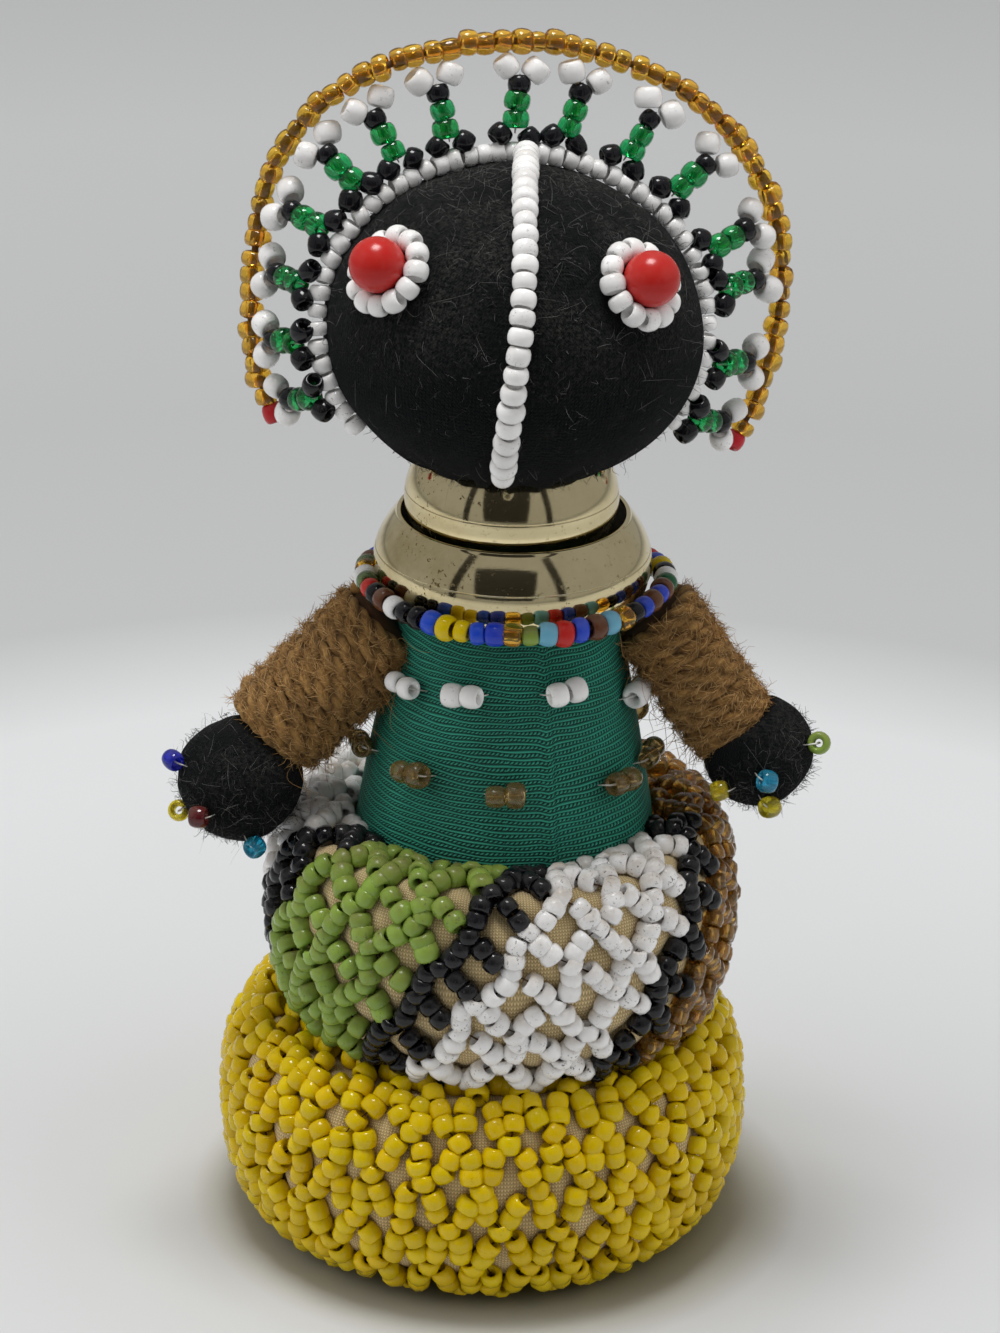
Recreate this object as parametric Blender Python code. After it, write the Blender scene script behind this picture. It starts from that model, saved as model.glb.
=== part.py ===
"""Beaded doll: a stuffed cloth and thread figure dressed in strung glass beads.

Two stuffed rings in bead nets make the skirt. A thread-wound cone stands through them and
carries twine arms with felt hands, two brass neck rings, a bead necklace and a felt head
with a fan-shaped crown of beads. Metres, +Z up, face towards -Y. The origin is the centre of
the cone's flat underside, which is level with the table.
"""
import math
from dataclasses import dataclass

import bmesh
import bpy
from mathutils import Matrix, Vector

MM = 0.001
TURN = 2.0 * math.pi

# Fit between touching pieces
GAP = 0.35 * MM

# Skirt rings: the middle and half height of each one's section, and the space between their
# cloths, which the lower ring's net fills
LOWER_MIDDLE = 13.4 * MM
LOWER_HALF_UP = 11.2 * MM
UPPER_HALF_DOWN = 11.6 * MM
UPPER_HALF_UP = 10.0 * MM
RING_SPACE = 3.6 * MM
UPPER_MIDDLE = LOWER_MIDDLE + LOWER_HALF_UP + RING_SPACE + UPPER_HALF_DOWN

# Thread-wound torso cone. It rises out of the upper ring, and its hidden stem goes down
# through both rings. Halfway up the cone its slope changes a little.
TORSO_SINK = 0.9 * MM
TORSO_TALL = 29.1 * MM
TORSO_TOP_RADIUS = 11.5 * MM
TORSO_WAIST_RADIUS = 14.4 * MM
TORSO_HEM_RADIUS = 17.1 * MM
TORSO_HEM_HEIGHT = UPPER_MIDDLE + UPPER_HALF_UP - TORSO_SINK
TORSO_WAIST_HEIGHT = TORSO_HEM_HEIGHT + TORSO_TALL / 2
TORSO_TOP = TORSO_HEM_HEIGHT + TORSO_TALL
STEM_RADIUS = 13.0 * MM
STEM_DROP = 5.9 * MM
STEM_TOP = TORSO_HEM_HEIGHT - STEM_DROP
TORSO_SIDES = 22

# Bead strings: the waist between two beads and the bead's width, as shares of its height
STRING_WAIST = 0.62
STRING_WIDTH = 1.15

# Strand of a bead net: how far it stands off the cloth, and half its width at the cloth
NET_THICKNESS = 2.4 * MM
NET_HALF_WIDTH = 1.25 * MM

# Brass neck rings: hollow half-round bands of sheet brass. The lower one sits over the torso's
# top, and the upper one is set a little way down into its rim.
BRASS_WALL = 0.9 * MM
BRASS_SIDES = 22
BRASS_SEAT = 0.4 * MM
BRASS_SET_IN = 2.7 * MM
LOWER_BRASS_TALL = 9.1 * MM
LOWER_BRASS_RADIUS = 15.6 * MM
LOWER_BRASS_FOOT_RADIUS = 14.3 * MM
LOWER_BRASS_RIM_RADIUS = 13.0 * MM
LOWER_BRASS_FOOT = TORSO_TOP - BRASS_SEAT
LOWER_BRASS_RIM = LOWER_BRASS_FOOT + LOWER_BRASS_TALL
UPPER_BRASS_TALL = 8.2 * MM
UPPER_BRASS_RADIUS = 12.1 * MM
UPPER_BRASS_FOOT_RADIUS = 10.9 * MM
UPPER_BRASS_RIM_RADIUS = 10.5 * MM
UPPER_BRASS_FOOT = LOWER_BRASS_RIM - BRASS_SET_IN
UPPER_BRASS_RIM = UPPER_BRASS_FOOT + UPPER_BRASS_TALL

# Necklace, lying round the foot of the lower brass ring
NECKLACE_BEAD = 2.2 * MM
NECKLACE_SPACE = 1.2 * MM
NECKLACE_LIFT = 2.0 * MM
NECKLACE_RADIUS = LOWER_BRASS_RADIUS + NECKLACE_BEAD / 2 + NECKLACE_SPACE
NECKLACE_HEIGHT = LOWER_BRASS_FOOT + NECKLACE_LIFT
NECKLACE_BEADS = 58

# Felt head: an ellipsoid leaning to the doll's left, with the neck that hides in the brass rings
HEAD_HALF_WIDTH = 20.15 * MM
HEAD_HALF_TALL = 17.15 * MM
HEAD_SINK = 1.15 * MM
HEAD_HEIGHT = UPPER_BRASS_RIM + HEAD_HALF_TALL - HEAD_SINK
HEAD_LEAN = math.radians(3.0)
NECK_RADIUS = 8.0 * MM
HEAD_SIDES = 24
HEAD_ROWS = 10

# Strand of white beads down the parting, from the crown to under the chin
PARTING_BEAD = 2.5 * MM
PARTING_BEADS = 26
PARTING_TURN = math.radians(-2.1)
PARTING_CHIN = math.radians(-42.0)

# Eyes: a round bead in a ring of small ones
EYE_RADIUS = 3.1 * MM
EYE_RING_RADIUS = 4.4 * MM
EYE_RING_BEAD = 2.1 * MM
EYE_RING_BEADS = 12
LEFT_EYE = (math.radians(-47.8), math.radians(29.9))
RIGHT_EYE = (math.radians(44.1), math.radians(33.8))

# Crown: a white row on the head, spokes that fold back towards the sides, and an outer arc
CROWN_LEAN_BACK = math.radians(18.0)
CROWN_TWIST = math.radians(11.0)
CROWN_ROW_BEAD = 1.8 * MM
CROWN_ROW_BEADS = 49
CROWN_ROW_START = math.radians(-122.0)
CROWN_ROW_END = math.radians(120.0)
SPOKE_TURNS = (-110.0, -95.5, -80.5, -66.0, -51.5, -38.0, -21.5, -0.5,
               15.5, 35.0, 52.5, 70.5, 81.5, 100.5, 116.0)
SPOKE_FIRST = math.radians(SPOKE_TURNS[0])
SPOKE_LAST = math.radians(SPOKE_TURNS[-1])
SPOKE_FAN = 0.87
SPOKE_BEAD = 2.0 * MM
SPOKE_PAIR_WIDTH = 5.0 * MM
LEFT_FOLD = (math.radians(62.0), math.radians(28.0), math.radians(88.0))
RIGHT_FOLD = (math.radians(46.0), math.radians(35.0), math.radians(105.0))
ARC_BEAD = 2.3 * MM
ARC_BEADS = 66
ARC_END_BEAD = 2.7 * MM

# Twine-wound arms and felt hands. The middles of a shoulder and a wrist are given by how far
# they stand off the torso's surface, how far they lie below its top and how far forward of
# its axis. A hand is given from its wrist: aside, forward and down. An arm's two ends are
# shares of its radius.
TWINE_PITCH = 2.0 * MM
TWINE_GROOVE = 0.45 * MM
ARM_SIDES = 12
LEFT_ARM_RADIUS = 6.1 * MM
LEFT_SHOULDER_REACH = 0.25 * MM
LEFT_SHOULDER_DROP = 4.3 * MM
LEFT_WRIST_REACH = 11.95 * MM
LEFT_WRIST_DROP = 18.6 * MM
LEFT_WRIST_FORWARD = 3.0 * MM
LEFT_HAND_RADIUS = 7.0 * MM
LEFT_HAND_ASIDE = 2.7 * MM
LEFT_HAND_FORWARD = 2.0 * MM
LEFT_HAND_DROP = 4.1 * MM
RIGHT_ARM_RADIUS = 5.1 * MM
RIGHT_SHOULDER_REACH = 3.5 * MM
RIGHT_SHOULDER_DROP = 2.6 * MM
RIGHT_WRIST_REACH = 11.0 * MM
RIGHT_WRIST_DROP = 17.4 * MM
RIGHT_WRIST_FORWARD = 2.0 * MM
RIGHT_HAND_RADIUS = 6.2 * MM
RIGHT_HAND_ASIDE = 2.3 * MM
RIGHT_HAND_FORWARD = 1.0 * MM
RIGHT_HAND_DROP = 1.4 * MM
SHOULDER_FORWARD = 0.5 * MM
SHOULDER_END = 0.8
WRIST_END = 0.86
HAND_SIDES = 12
HAND_ROWS = 7
FINGER_BEAD = 2.4 * MM

# Pairs of beads sewn flat on the torso, a white row above and an amber row below: each place
# is a turn from the front in degrees and a drop below the torso's top in millimetres
PAIR_BEAD = 2.5 * MM
PAIR_LENGTH = 4.6 * MM
WHITE_PAIR_PLACES = ((-52.0, 9.3), (-20.0, 8.4), (28.0, 8.0), (74.0, 12.0), (120.0, 10.0),
                     (168.0, 9.0), (-124.0, 9.0))
AMBER_PAIR_PLACES = ((-79.0, 19.2), (-40.0, 18.4), (0.0, 19.0), (51.0, 19.8), (77.0, 19.4),
                     (122.0, 19.0), (168.0, 18.5), (-122.0, 19.0))

# Finger beads: turn from the front and tilt above level, seen from the hand's centre
LEFT_FINGERS = {"cobalt": (-52, 24), "yellow": (-95, -33), "garnet": (-23, -14), "teal": (26, -47)}
RIGHT_FINGERS = {"citrine": (-38, -20), "blue": (6, -3), "yellow": (12, -34), "lime": (68, 17)}

COLOURS = {
    "green thread": ((0.010, 0.150, 0.105), 0.75, 0.0),
    "cushion cloth": ((0.56, 0.42, 0.25), 0.90, 0.0),
    "yellow beads": ((0.85, 0.68, 0.01), 0.25, 0.0),
    "mixed beads": ((0.55, 0.58, 0.42), 0.35, 0.0),
    "brass": ((0.80, 0.68, 0.38), 0.18, 1.0),
    "necklace beads": ((0.05, 0.10, 0.35), 0.20, 0.0),
    "black felt": ((0.012, 0.012, 0.013), 0.95, 0.0),
    "white beads": ((0.80, 0.79, 0.77), 0.30, 0.0),
    "red beads": ((0.70, 0.02, 0.02), 0.20, 0.0),
    "crown beads": ((0.02, 0.25, 0.08), 0.20, 0.0),
    "amber beads": ((0.60, 0.32, 0.02), 0.15, 0.0),
    "jute twine": ((0.30, 0.18, 0.07), 0.90, 0.0),
    "finger beads": ((0.03, 0.25, 0.45), 0.15, 0.0),
}


@dataclass
class SkirtRing:
    """A stuffed ring: its rounded section, and the bead net that is drawn over it."""

    name: str
    centre_x: float
    mid_radius: float
    half_width: float
    mid_height: float
    half_up: float
    half_down: float
    fullness: float
    columns: int
    net_rows: int
    net_low: float
    net_high: float
    inner_angles: tuple
    sole: tuple


LOWER_RING = SkirtRing(
    name="lower", centre_x=-2.0 * MM, mid_radius=22.0 * MM, half_width=6.1 * MM,
    mid_height=LOWER_MIDDLE, half_up=LOWER_HALF_UP, half_down=11.4 * MM, fullness=2.3,
    columns=23, net_rows=6, net_low=-66.0, net_high=84.0,
    inner_angles=(118.0, 165.0, 205.0), sole=(19.6 * MM, 23.2 * MM))
UPPER_RING = SkirtRing(
    name="upper", centre_x=-0.3 * MM, mid_radius=20.3 * MM, half_width=4.4 * MM,
    mid_height=UPPER_MIDDLE, half_up=UPPER_HALF_UP, half_down=UPPER_HALF_DOWN, fullness=2.3,
    columns=20, net_rows=5, net_low=-54.0, net_high=84.0,
    inner_angles=(125.0, 180.0, 235.0, 270.0), sole=())


def clear_scene():
    """Start from an empty file."""
    for item in list(bpy.data.objects):
        bpy.data.objects.remove(item, do_unlink=True)


def finish_of(name):
    """The Principled material of a named finish, made once."""
    if name in bpy.data.materials:
        return bpy.data.materials[name]
    colour, roughness, metallic = COLOURS[name]
    material = bpy.data.materials.new(name)
    material.use_nodes = True
    shader = material.node_tree.nodes["Principled BSDF"]
    shader.inputs["Base Color"].default_value = (*colour, 1.0)
    shader.inputs["Roughness"].default_value = roughness
    shader.inputs["Metallic"].default_value = metallic
    material.diffuse_color = (*colour, 1.0)
    return material


def add_solid(name, bm, finish, sharp_angle=40.0):
    """Turn a closed bmesh into a named object, shaded smooth except at sharp edges."""
    bmesh.ops.recalc_face_normals(bm, faces=bm.faces)
    mesh = bpy.data.meshes.new(name)
    bm.to_mesh(mesh)
    bm.free()
    mesh.shade_smooth()
    mesh.set_sharp_from_angle(angle=math.radians(sharp_angle))
    mesh.materials.append(finish_of(finish))
    item = bpy.data.objects.new(name, mesh)
    bpy.context.collection.objects.link(item)
    return item


def turned(profile, sides, closed, matrix=None):
    """Spin a profile of (radius, height) points round +Z. A closed profile makes a ring."""
    bm = bmesh.new()
    corners = [bm.verts.new((radius, 0.0, height)) for radius, height in profile]
    edges = [bm.edges.new(pair) for pair in zip(corners, corners[1:])]
    if closed:
        edges.append(bm.edges.new((corners[-1], corners[0])))
    bmesh.ops.spin(bm, geom=corners + edges, cent=(0, 0, 0), axis=(0, 0, 1),
                   angle=TURN, steps=sides, use_merge=True)
    bmesh.ops.remove_doubles(bm, verts=bm.verts, dist=0.001 * MM)
    if matrix is not None:
        bmesh.ops.transform(bm, matrix=matrix, verts=bm.verts)
    return bm


def loft(sections, closed, matrix=None):
    """Join loops of points, one after another, into a tube with capped or joined ends."""
    bm = bmesh.new()
    loops = [[bm.verts.new(point) for point in section] for section in sections]
    spans = list(zip(loops, loops[1:]))
    if closed:
        spans.append((loops[-1], loops[0]))
    count = len(loops[0])
    for first, second in spans:
        for index in range(count):
            after = (index + 1) % count
            bm.faces.new((first[index], first[after], second[after], second[index]))
    if not closed:
        bm.faces.new(loops[0])
        bm.faces.new(loops[-1])
    if matrix is not None:
        bmesh.ops.transform(bm, matrix=matrix, verts=bm.verts)
    return bm


def string_section(centre, along, outward, height, width):
    """A three-cornered section of a bead string: flat on its inner side, ridged outside."""
    side = along.cross(outward).normalized()
    base = centre - outward * (height / 2)
    return [base + side * (width / 2), base - side * (width / 2), centre + outward * (height / 2)]


def bead_string(points, outwards, bead, closed, end_bead=None):
    """Strung beads as one solid: a full section at each bead and a waist between beads."""
    waist = STRING_WAIST
    width = STRING_WIDTH
    sections = []
    count = len(points)
    for index in range(count):
        size = end_bead if end_bead and index in (0, count - 1) else bead
        before = points[index - 1] if closed or index > 0 else points[index]
        after = points[(index + 1) % count] if closed or index < count - 1 else points[index]
        along = (after - before).normalized()
        sections.append(string_section(points[index], along, outwards[index], size, width * size))
        if closed or index < count - 1:
            middle = (points[index] + after) / 2
            outward = (outwards[index] + outwards[(index + 1) % count]).normalized()
            step = (after - points[index]).normalized()
            sections.append(string_section(middle, step, outward, waist * bead, waist * bead))
    return loft(sections, closed)


def torso_radius(height):
    """Radius of the torso cone at a height between its hem and its top."""
    stops = [(TORSO_HEM_HEIGHT, TORSO_HEM_RADIUS), (TORSO_WAIST_HEIGHT, TORSO_WAIST_RADIUS),
             (TORSO_TOP, TORSO_TOP_RADIUS)]
    for (low, low_radius), (high, high_radius) in zip(stops, stops[1:]):
        if height <= high:
            share = (height - low) / (high - low)
            return low_radius + share * (high_radius - low_radius)
    return TORSO_TOP_RADIUS


def torso_profile(spare=0.0):
    """Half outline of the torso, grown outward by a spare distance."""
    low = -spare
    return [(0.0, low), (STEM_RADIUS + spare, low), (STEM_RADIUS + spare, STEM_TOP),
            (TORSO_HEM_RADIUS + spare, TORSO_HEM_HEIGHT),
            (TORSO_WAIST_RADIUS + spare, TORSO_WAIST_HEIGHT),
            (TORSO_TOP_RADIUS + spare, TORSO_TOP + spare), (0.0, TORSO_TOP + spare)]


def signed_power(value, power):
    """Power of a number's size, with its sign kept."""
    return math.copysign(abs(value) ** power, value)


def section_point(ring, angle, offset):
    """(radius, height) on a ring's rounded section, offset from its cloth."""
    power = 2.0 / ring.fullness
    out = signed_power(math.cos(angle), power)
    rise = signed_power(math.sin(angle), power)
    half_height = ring.half_up if rise > 0 else ring.half_down
    return (ring.mid_radius + (ring.half_width + offset) * out,
            ring.mid_height + (half_height + offset) * rise)


def net_angles(ring):
    """Section angles of the net's levels, spaced evenly along the outline of the cloth."""
    low = math.radians(ring.net_low)
    high = math.radians(ring.net_high)
    steps = 240
    angles = [low + (high - low) * index / steps for index in range(steps + 1)]
    places = [section_point(ring, angle, NET_THICKNESS / 2) for angle in angles]
    lengths = [0.0]
    for first, second in zip(places, places[1:]):
        lengths.append(lengths[-1] + math.dist(first, second))
    levels = []
    for row in range(ring.net_rows + 1):
        wanted = lengths[-1] * row / ring.net_rows
        nearest = min(range(steps + 1), key=lambda index: abs(lengths[index] - wanted))
        levels.append(angles[nearest])
    return levels


def ring_point(ring, radius, height, turn):
    """Point of a skirt ring at a turn round its own centre."""
    return Vector((ring.centre_x + radius * math.cos(turn), radius * math.sin(turn), height))


def column_turn(ring, column, level):
    """Turn of a net column, with every other level shifted by half a column."""
    return TURN * (column + 0.5 * (level % 2)) / ring.columns


def cushion(ring):
    """Stuffed ring: levels of points that alternate by half a column, joined by triangles."""
    profile = [section_point(ring, angle, 0.0) for angle in net_angles(ring)]
    profile += [section_point(ring, math.radians(angle), 0.0) for angle in ring.inner_angles]
    profile += [(radius, 0.0) for radius in ring.sole]
    bm = bmesh.new()
    levels = []
    for level, (radius, height) in enumerate(profile):
        levels.append([bm.verts.new(ring_point(ring, radius, height, column_turn(ring, column, level)))
                       for column in range(ring.columns)])
    for level in range(len(levels)):
        here = levels[level]
        above = levels[(level + 1) % len(levels)]
        for column in range(ring.columns):
            after = (column + 1) % ring.columns
            if level % 2:
                bm.faces.new((here[column], above[after], above[column]))
                bm.faces.new((here[column], here[after], above[after]))
            else:
                bm.faces.new((here[column], here[after], above[column]))
                bm.faces.new((here[after], above[after], above[column]))
    return add_solid(ring.name + "_cushion", bm, "cushion cloth", 60.0)


def net_knot(bm, ring, angle, turn):
    """Corners of the net where its strands cross: a top ridge point and four at the cloth."""
    small = math.radians(1.0)
    radius, height = section_point(ring, angle, GAP)
    out_radius, out_height = section_point(ring, angle, GAP + NET_THICKNESS)
    next_radius, next_height = section_point(ring, angle + small, GAP)
    centre = ring_point(ring, radius, height, turn)
    up = (ring_point(ring, next_radius, next_height, turn) - centre).normalized()
    across = Vector((-math.sin(turn), math.cos(turn), 0.0))
    return {
        "ridge": bm.verts.new(ring_point(ring, out_radius, out_height, turn)),
        "up": bm.verts.new(centre + up * NET_HALF_WIDTH),
        "down": bm.verts.new(centre - up * NET_HALF_WIDTH),
        "next": bm.verts.new(centre + across * NET_HALF_WIDTH),
        "back": bm.verts.new(centre - across * NET_HALF_WIDTH),
    }


def net_strand(bm, start, end, start_sides, end_sides):
    """One strand between two knots: two sloping sides and a flat side at the cloth."""
    for first, second in zip(start_sides, end_sides):
        bm.faces.new((start["ridge"], start[first], end[second], end["ridge"]))
    bm.faces.new((start[start_sides[0]], start[start_sides[1]], end[end_sides[1]], end[end_sides[0]]))


def bead_net(ring, finish):
    """Open net of diamonds over a skirt ring, with an edging strand along its top."""
    bm = bmesh.new()
    angles = net_angles(ring)
    top = len(angles) - 1
    knots = [[net_knot(bm, ring, angle, column_turn(ring, column, level))
              for column in range(ring.columns)] for level, angle in enumerate(angles)]
    for level in range(top):
        for column in range(ring.columns):
            start = knots[level][column]
            forward = knots[level + 1][(column + level % 2) % ring.columns]
            backward = knots[level + 1][(column + level % 2 - 1) % ring.columns]
            net_strand(bm, start, forward, ("up", "next"), ("back", "down"))
            net_strand(bm, start, backward, ("up", "back"), ("next", "down"))
    for column in range(ring.columns):
        start = knots[top][column]
        end = knots[top][(column + 1) % ring.columns]
        net_strand(bm, start, end, ("up", "next"), ("up", "back"))
        hem = knots[0][column]
        bm.faces.new((hem["ridge"], hem["next"], hem["back"]))
        bm.faces.new((hem["up"], hem["next"], hem["back"]))
        hem_corner = hem["down"]
        bm.verts.remove(hem_corner)
    for level in range(1, top + 1):
        for knot in knots[level]:
            bm.faces.new((knot["up"], knot["next"], knot["down"], knot["back"]))
    return add_solid(ring.name + "_bead_net", bm, finish, 30.0)


def brass_band(name, foot, foot_radius, widest, rim, rim_radius):
    """Hollow half-round band: a curved sheet of even wall, open on its inner side."""
    steps = 5
    middle = (foot + rim) / 2
    half = (rim - foot) / 2
    outer = []
    for index in range(steps + 1):
        share = -1.0 + 2.0 * index / steps
        edge = foot_radius + (rim_radius - foot_radius) * (share + 1.0) / 2
        bulge = widest - (foot_radius + rim_radius) / 2
        outer.append((edge + bulge * math.sqrt(max(0.0, 1.0 - share * share)), middle + half * share))
    inner = [(radius - BRASS_WALL, height) for radius, height in reversed(outer)]
    return add_solid(name, turned(outer + inner, BRASS_SIDES, closed=True), "brass")


def necklace():
    """Closed string of beads round the neck."""
    turns = [TURN * index / NECKLACE_BEADS for index in range(NECKLACE_BEADS)]
    outwards = [Vector((math.cos(turn), math.sin(turn), 0.0)) for turn in turns]
    points = [outward * NECKLACE_RADIUS + Vector((0, 0, NECKLACE_HEIGHT)) for outward in outwards]
    bm = bead_string(points, outwards, NECKLACE_BEAD, closed=True)
    return add_solid("necklace", bm, "necklace beads")


def head_matrix():
    """Place of the head: its centre's height and its lean."""
    return Matrix.Translation((0, 0, HEAD_HEIGHT)) @ Matrix.Rotation(HEAD_LEAN, 4, "Y")


def on_head(direction, offset):
    """Point above the head's surface in a direction from its centre, and the normal there."""
    unit = direction.normalized()
    scale = 1.0 / math.sqrt((unit.x ** 2 + unit.y ** 2) / HEAD_HALF_WIDTH ** 2
                            + unit.z ** 2 / HEAD_HALF_TALL ** 2)
    point = unit * scale
    normal = Vector((point.x / HEAD_HALF_WIDTH ** 2, point.y / HEAD_HALF_WIDTH ** 2,
                     point.z / HEAD_HALF_TALL ** 2)).normalized()
    return point + normal * offset, normal


def head():
    """Felt head and neck, turned as one shape and then leaned."""
    neck_foot = TORSO_TOP + GAP + NECK_RADIUS * math.sin(HEAD_LEAN) - HEAD_HEIGHT
    profile = [(0.0, neck_foot), (NECK_RADIUS, neck_foot)]
    join = -math.acos(NECK_RADIUS / HEAD_HALF_WIDTH)
    for row in range(HEAD_ROWS + 1):
        angle = join + (math.pi / 2 - join) * row / HEAD_ROWS
        radius = HEAD_HALF_WIDTH * math.cos(angle) if row < HEAD_ROWS else 0.0
        profile.append((radius, HEAD_HALF_TALL * math.sin(angle)))
    return add_solid("head", turned(profile, HEAD_SIDES, False, head_matrix()), "black felt")


def parting_strand():
    """White beads over the brow, from the crown's row to under the chin."""
    lift = GAP + PARTING_BEAD / 2
    spare = (CROWN_ROW_BEAD + PARTING_BEAD) / 2 + 2 * GAP
    start = math.pi / 2 + CROWN_LEAN_BACK - spare / HEAD_HALF_TALL
    turn = Matrix.Rotation(PARTING_TURN, 3, "Z")
    points = []
    outwards = []
    for index in range(PARTING_BEADS):
        angle = start + (PARTING_CHIN - start) * index / (PARTING_BEADS - 1)
        point, normal = on_head(turn @ Vector((0.0, -math.cos(angle), math.sin(angle))), lift)
        points.append(point)
        outwards.append(normal)
    bm = bead_string(points, outwards, PARTING_BEAD, closed=False)
    bmesh.ops.transform(bm, matrix=head_matrix(), verts=bm.verts)
    return add_solid("parting_strand", bm, "white beads")


def eye(side, place):
    """Round red bead on the face, in a ring of small white beads."""
    turn, rise = place
    towards = Vector((math.sin(turn) * math.cos(rise) * HEAD_HALF_WIDTH,
                      -math.cos(turn) * math.cos(rise) * HEAD_HALF_WIDTH,
                      math.sin(rise) * HEAD_HALF_TALL))
    centre, normal = on_head(towards, GAP + EYE_RADIUS)
    ball = bmesh.new()
    bmesh.ops.create_uvsphere(ball, u_segments=10, v_segments=6, radius=EYE_RADIUS,
                              matrix=head_matrix() @ Matrix.Translation(centre))
    add_solid(side + "_eye", ball, "red beads")
    first = normal.orthogonal().normalized()
    second = normal.cross(first)
    points = []
    outwards = []
    for index in range(EYE_RING_BEADS):
        angle = TURN * index / EYE_RING_BEADS
        spread = (first * math.cos(angle) + second * math.sin(angle)) * EYE_RING_RADIUS
        point, outward = on_head(towards + spread, GAP + EYE_RING_BEAD / 2)
        points.append(point)
        outwards.append(outward)
    ring = bead_string(points, outwards, EYE_RING_BEAD, closed=True)
    bmesh.ops.transform(ring, matrix=head_matrix(), verts=ring.verts)
    add_solid(side + "_eye_ring", ring, "white beads")


def crown_axes():
    """The crown's plane on the head: its side, up and back directions."""
    side = Vector((math.cos(CROWN_TWIST), math.sin(CROWN_TWIST), 0.0))
    lean = math.cos(CROWN_LEAN_BACK)
    back = Vector((-math.sin(CROWN_TWIST) * lean, math.cos(CROWN_TWIST) * lean,
                   -math.sin(CROWN_LEAN_BACK)))
    return side, side.cross(back), back


def smooth_step(value):
    """Ease from 0 to 1."""
    share = min(1.0, max(0.0, value))
    return share * share * (3.0 - 2.0 * share)


def crown_fold(angle):
    """How far the crown folds back from its plane, at an angle from its top."""
    most, start, end = LEFT_FOLD if angle < 0 else RIGHT_FOLD
    return most * smooth_step((abs(angle) - start) / (end - start))


def crown_ray(angle, lift):
    """Foot of the crown on the head at an angle from the top, and the way its spoke points."""
    side, up, back = crown_axes()
    foot, _ = on_head(side * math.sin(angle) + up * math.cos(angle), lift)
    fan = angle * SPOKE_FAN
    flat = side * math.sin(fan) + up * math.cos(fan)
    fold = crown_fold(angle)
    return foot, flat * math.cos(fold) + back * math.sin(fold)


def crown_row():
    """White beads sewn over the head, from ear to ear."""
    lift = GAP + CROWN_ROW_BEAD / 2
    side, up, _ = crown_axes()
    points = []
    outwards = []
    for index in range(CROWN_ROW_BEADS):
        angle = CROWN_ROW_START + (CROWN_ROW_END - CROWN_ROW_START) * index / (CROWN_ROW_BEADS - 1)
        point, normal = on_head(side * math.sin(angle) + up * math.cos(angle), lift)
        points.append(point)
        outwards.append(normal)
    bm = bead_string(points, outwards, CROWN_ROW_BEAD, closed=False)
    bmesh.ops.transform(bm, matrix=head_matrix(), verts=bm.verts)
    return add_solid("crown_row", bm, "white beads")


def spoke_angle(index):
    """Angle of a spoke from the crown's top."""
    return math.radians(SPOKE_TURNS[index])


def spoke_foot_lift():
    """Height of a spoke's foot above the head, just clear of the white row."""
    return 2 * GAP + CROWN_ROW_BEAD


def spoke_sizes():
    """(distance, width, depth) of each section along a spoke."""
    pair = SPOKE_PAIR_WIDTH
    bead = SPOKE_BEAD
    waist = 0.6 * bead
    return [(0.0, 0.8 * pair, 0.8 * bead), (0.5 * bead, pair, 1.1 * bead), (0.95 * bead, waist, waist),
            (1.4 * bead, bead, bead), (1.9 * bead, waist, waist), (2.4 * bead, bead, bead),
            (2.8 * bead, waist, waist), (3.2 * bead, bead, bead), (3.55 * bead, waist, waist),
            (3.95 * bead, pair, 1.15 * bead), (4.3 * bead, 0.8 * pair, 0.8 * bead)]


def crown_spoke(index):
    """A spoke of strung beads: a pair at its foot, three single beads and a pair at its tip."""
    angle = spoke_angle(index)
    foot, towards = crown_ray(angle, spoke_foot_lift())
    step = math.radians(1.0)
    across = crown_ray(angle + step, 0.0)[0] - crown_ray(angle - step, 0.0)[0]
    across = (across - towards * across.dot(towards)).normalized()
    deep = towards.cross(across).normalized()
    sections = []
    for distance, width, depth in spoke_sizes():
        centre = foot + towards * distance
        sections.append([centre + across * (width / 2), centre + deep * (depth / 2),
                         centre - across * (width / 2), centre - deep * (depth / 2)])
    bm = loft(sections, False, head_matrix())
    return add_solid("crown_spoke_%02d" % (index + 1), bm, "crown beads", 30.0)


def arc_distance():
    """Distance from a spoke's foot to the middle of the outer arc's beads."""
    return spoke_sizes()[-1][0] + GAP + ARC_END_BEAD / 2


def crown_arc():
    """Outer arc of amber beads over the spokes' tips, with a fuller bead at each end."""
    start = SPOKE_FIRST - math.radians(3.5)
    end = SPOKE_LAST + math.radians(3.5)
    points = []
    outwards = []
    for index in range(ARC_BEADS + 2):
        angle = start + (end - start) * index / (ARC_BEADS + 1)
        foot, towards = crown_ray(angle, spoke_foot_lift())
        points.append(foot + towards * arc_distance())
        outwards.append(towards)
    bm = bead_string(points, outwards, ARC_BEAD, closed=False, end_bead=ARC_END_BEAD)
    bmesh.ops.transform(bm, matrix=head_matrix(), verts=bm.verts)
    return add_solid("crown_arc", bm, "amber beads")


def torso_cutter():
    """Grown copy of the torso that trims whatever lies against it."""
    cutter = add_solid("torso_cutter", turned(torso_profile(GAP), TORSO_SIDES, False), "green thread")
    cutter.hide_render = True
    cutter.display_type = "WIRE"
    return cutter


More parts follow.
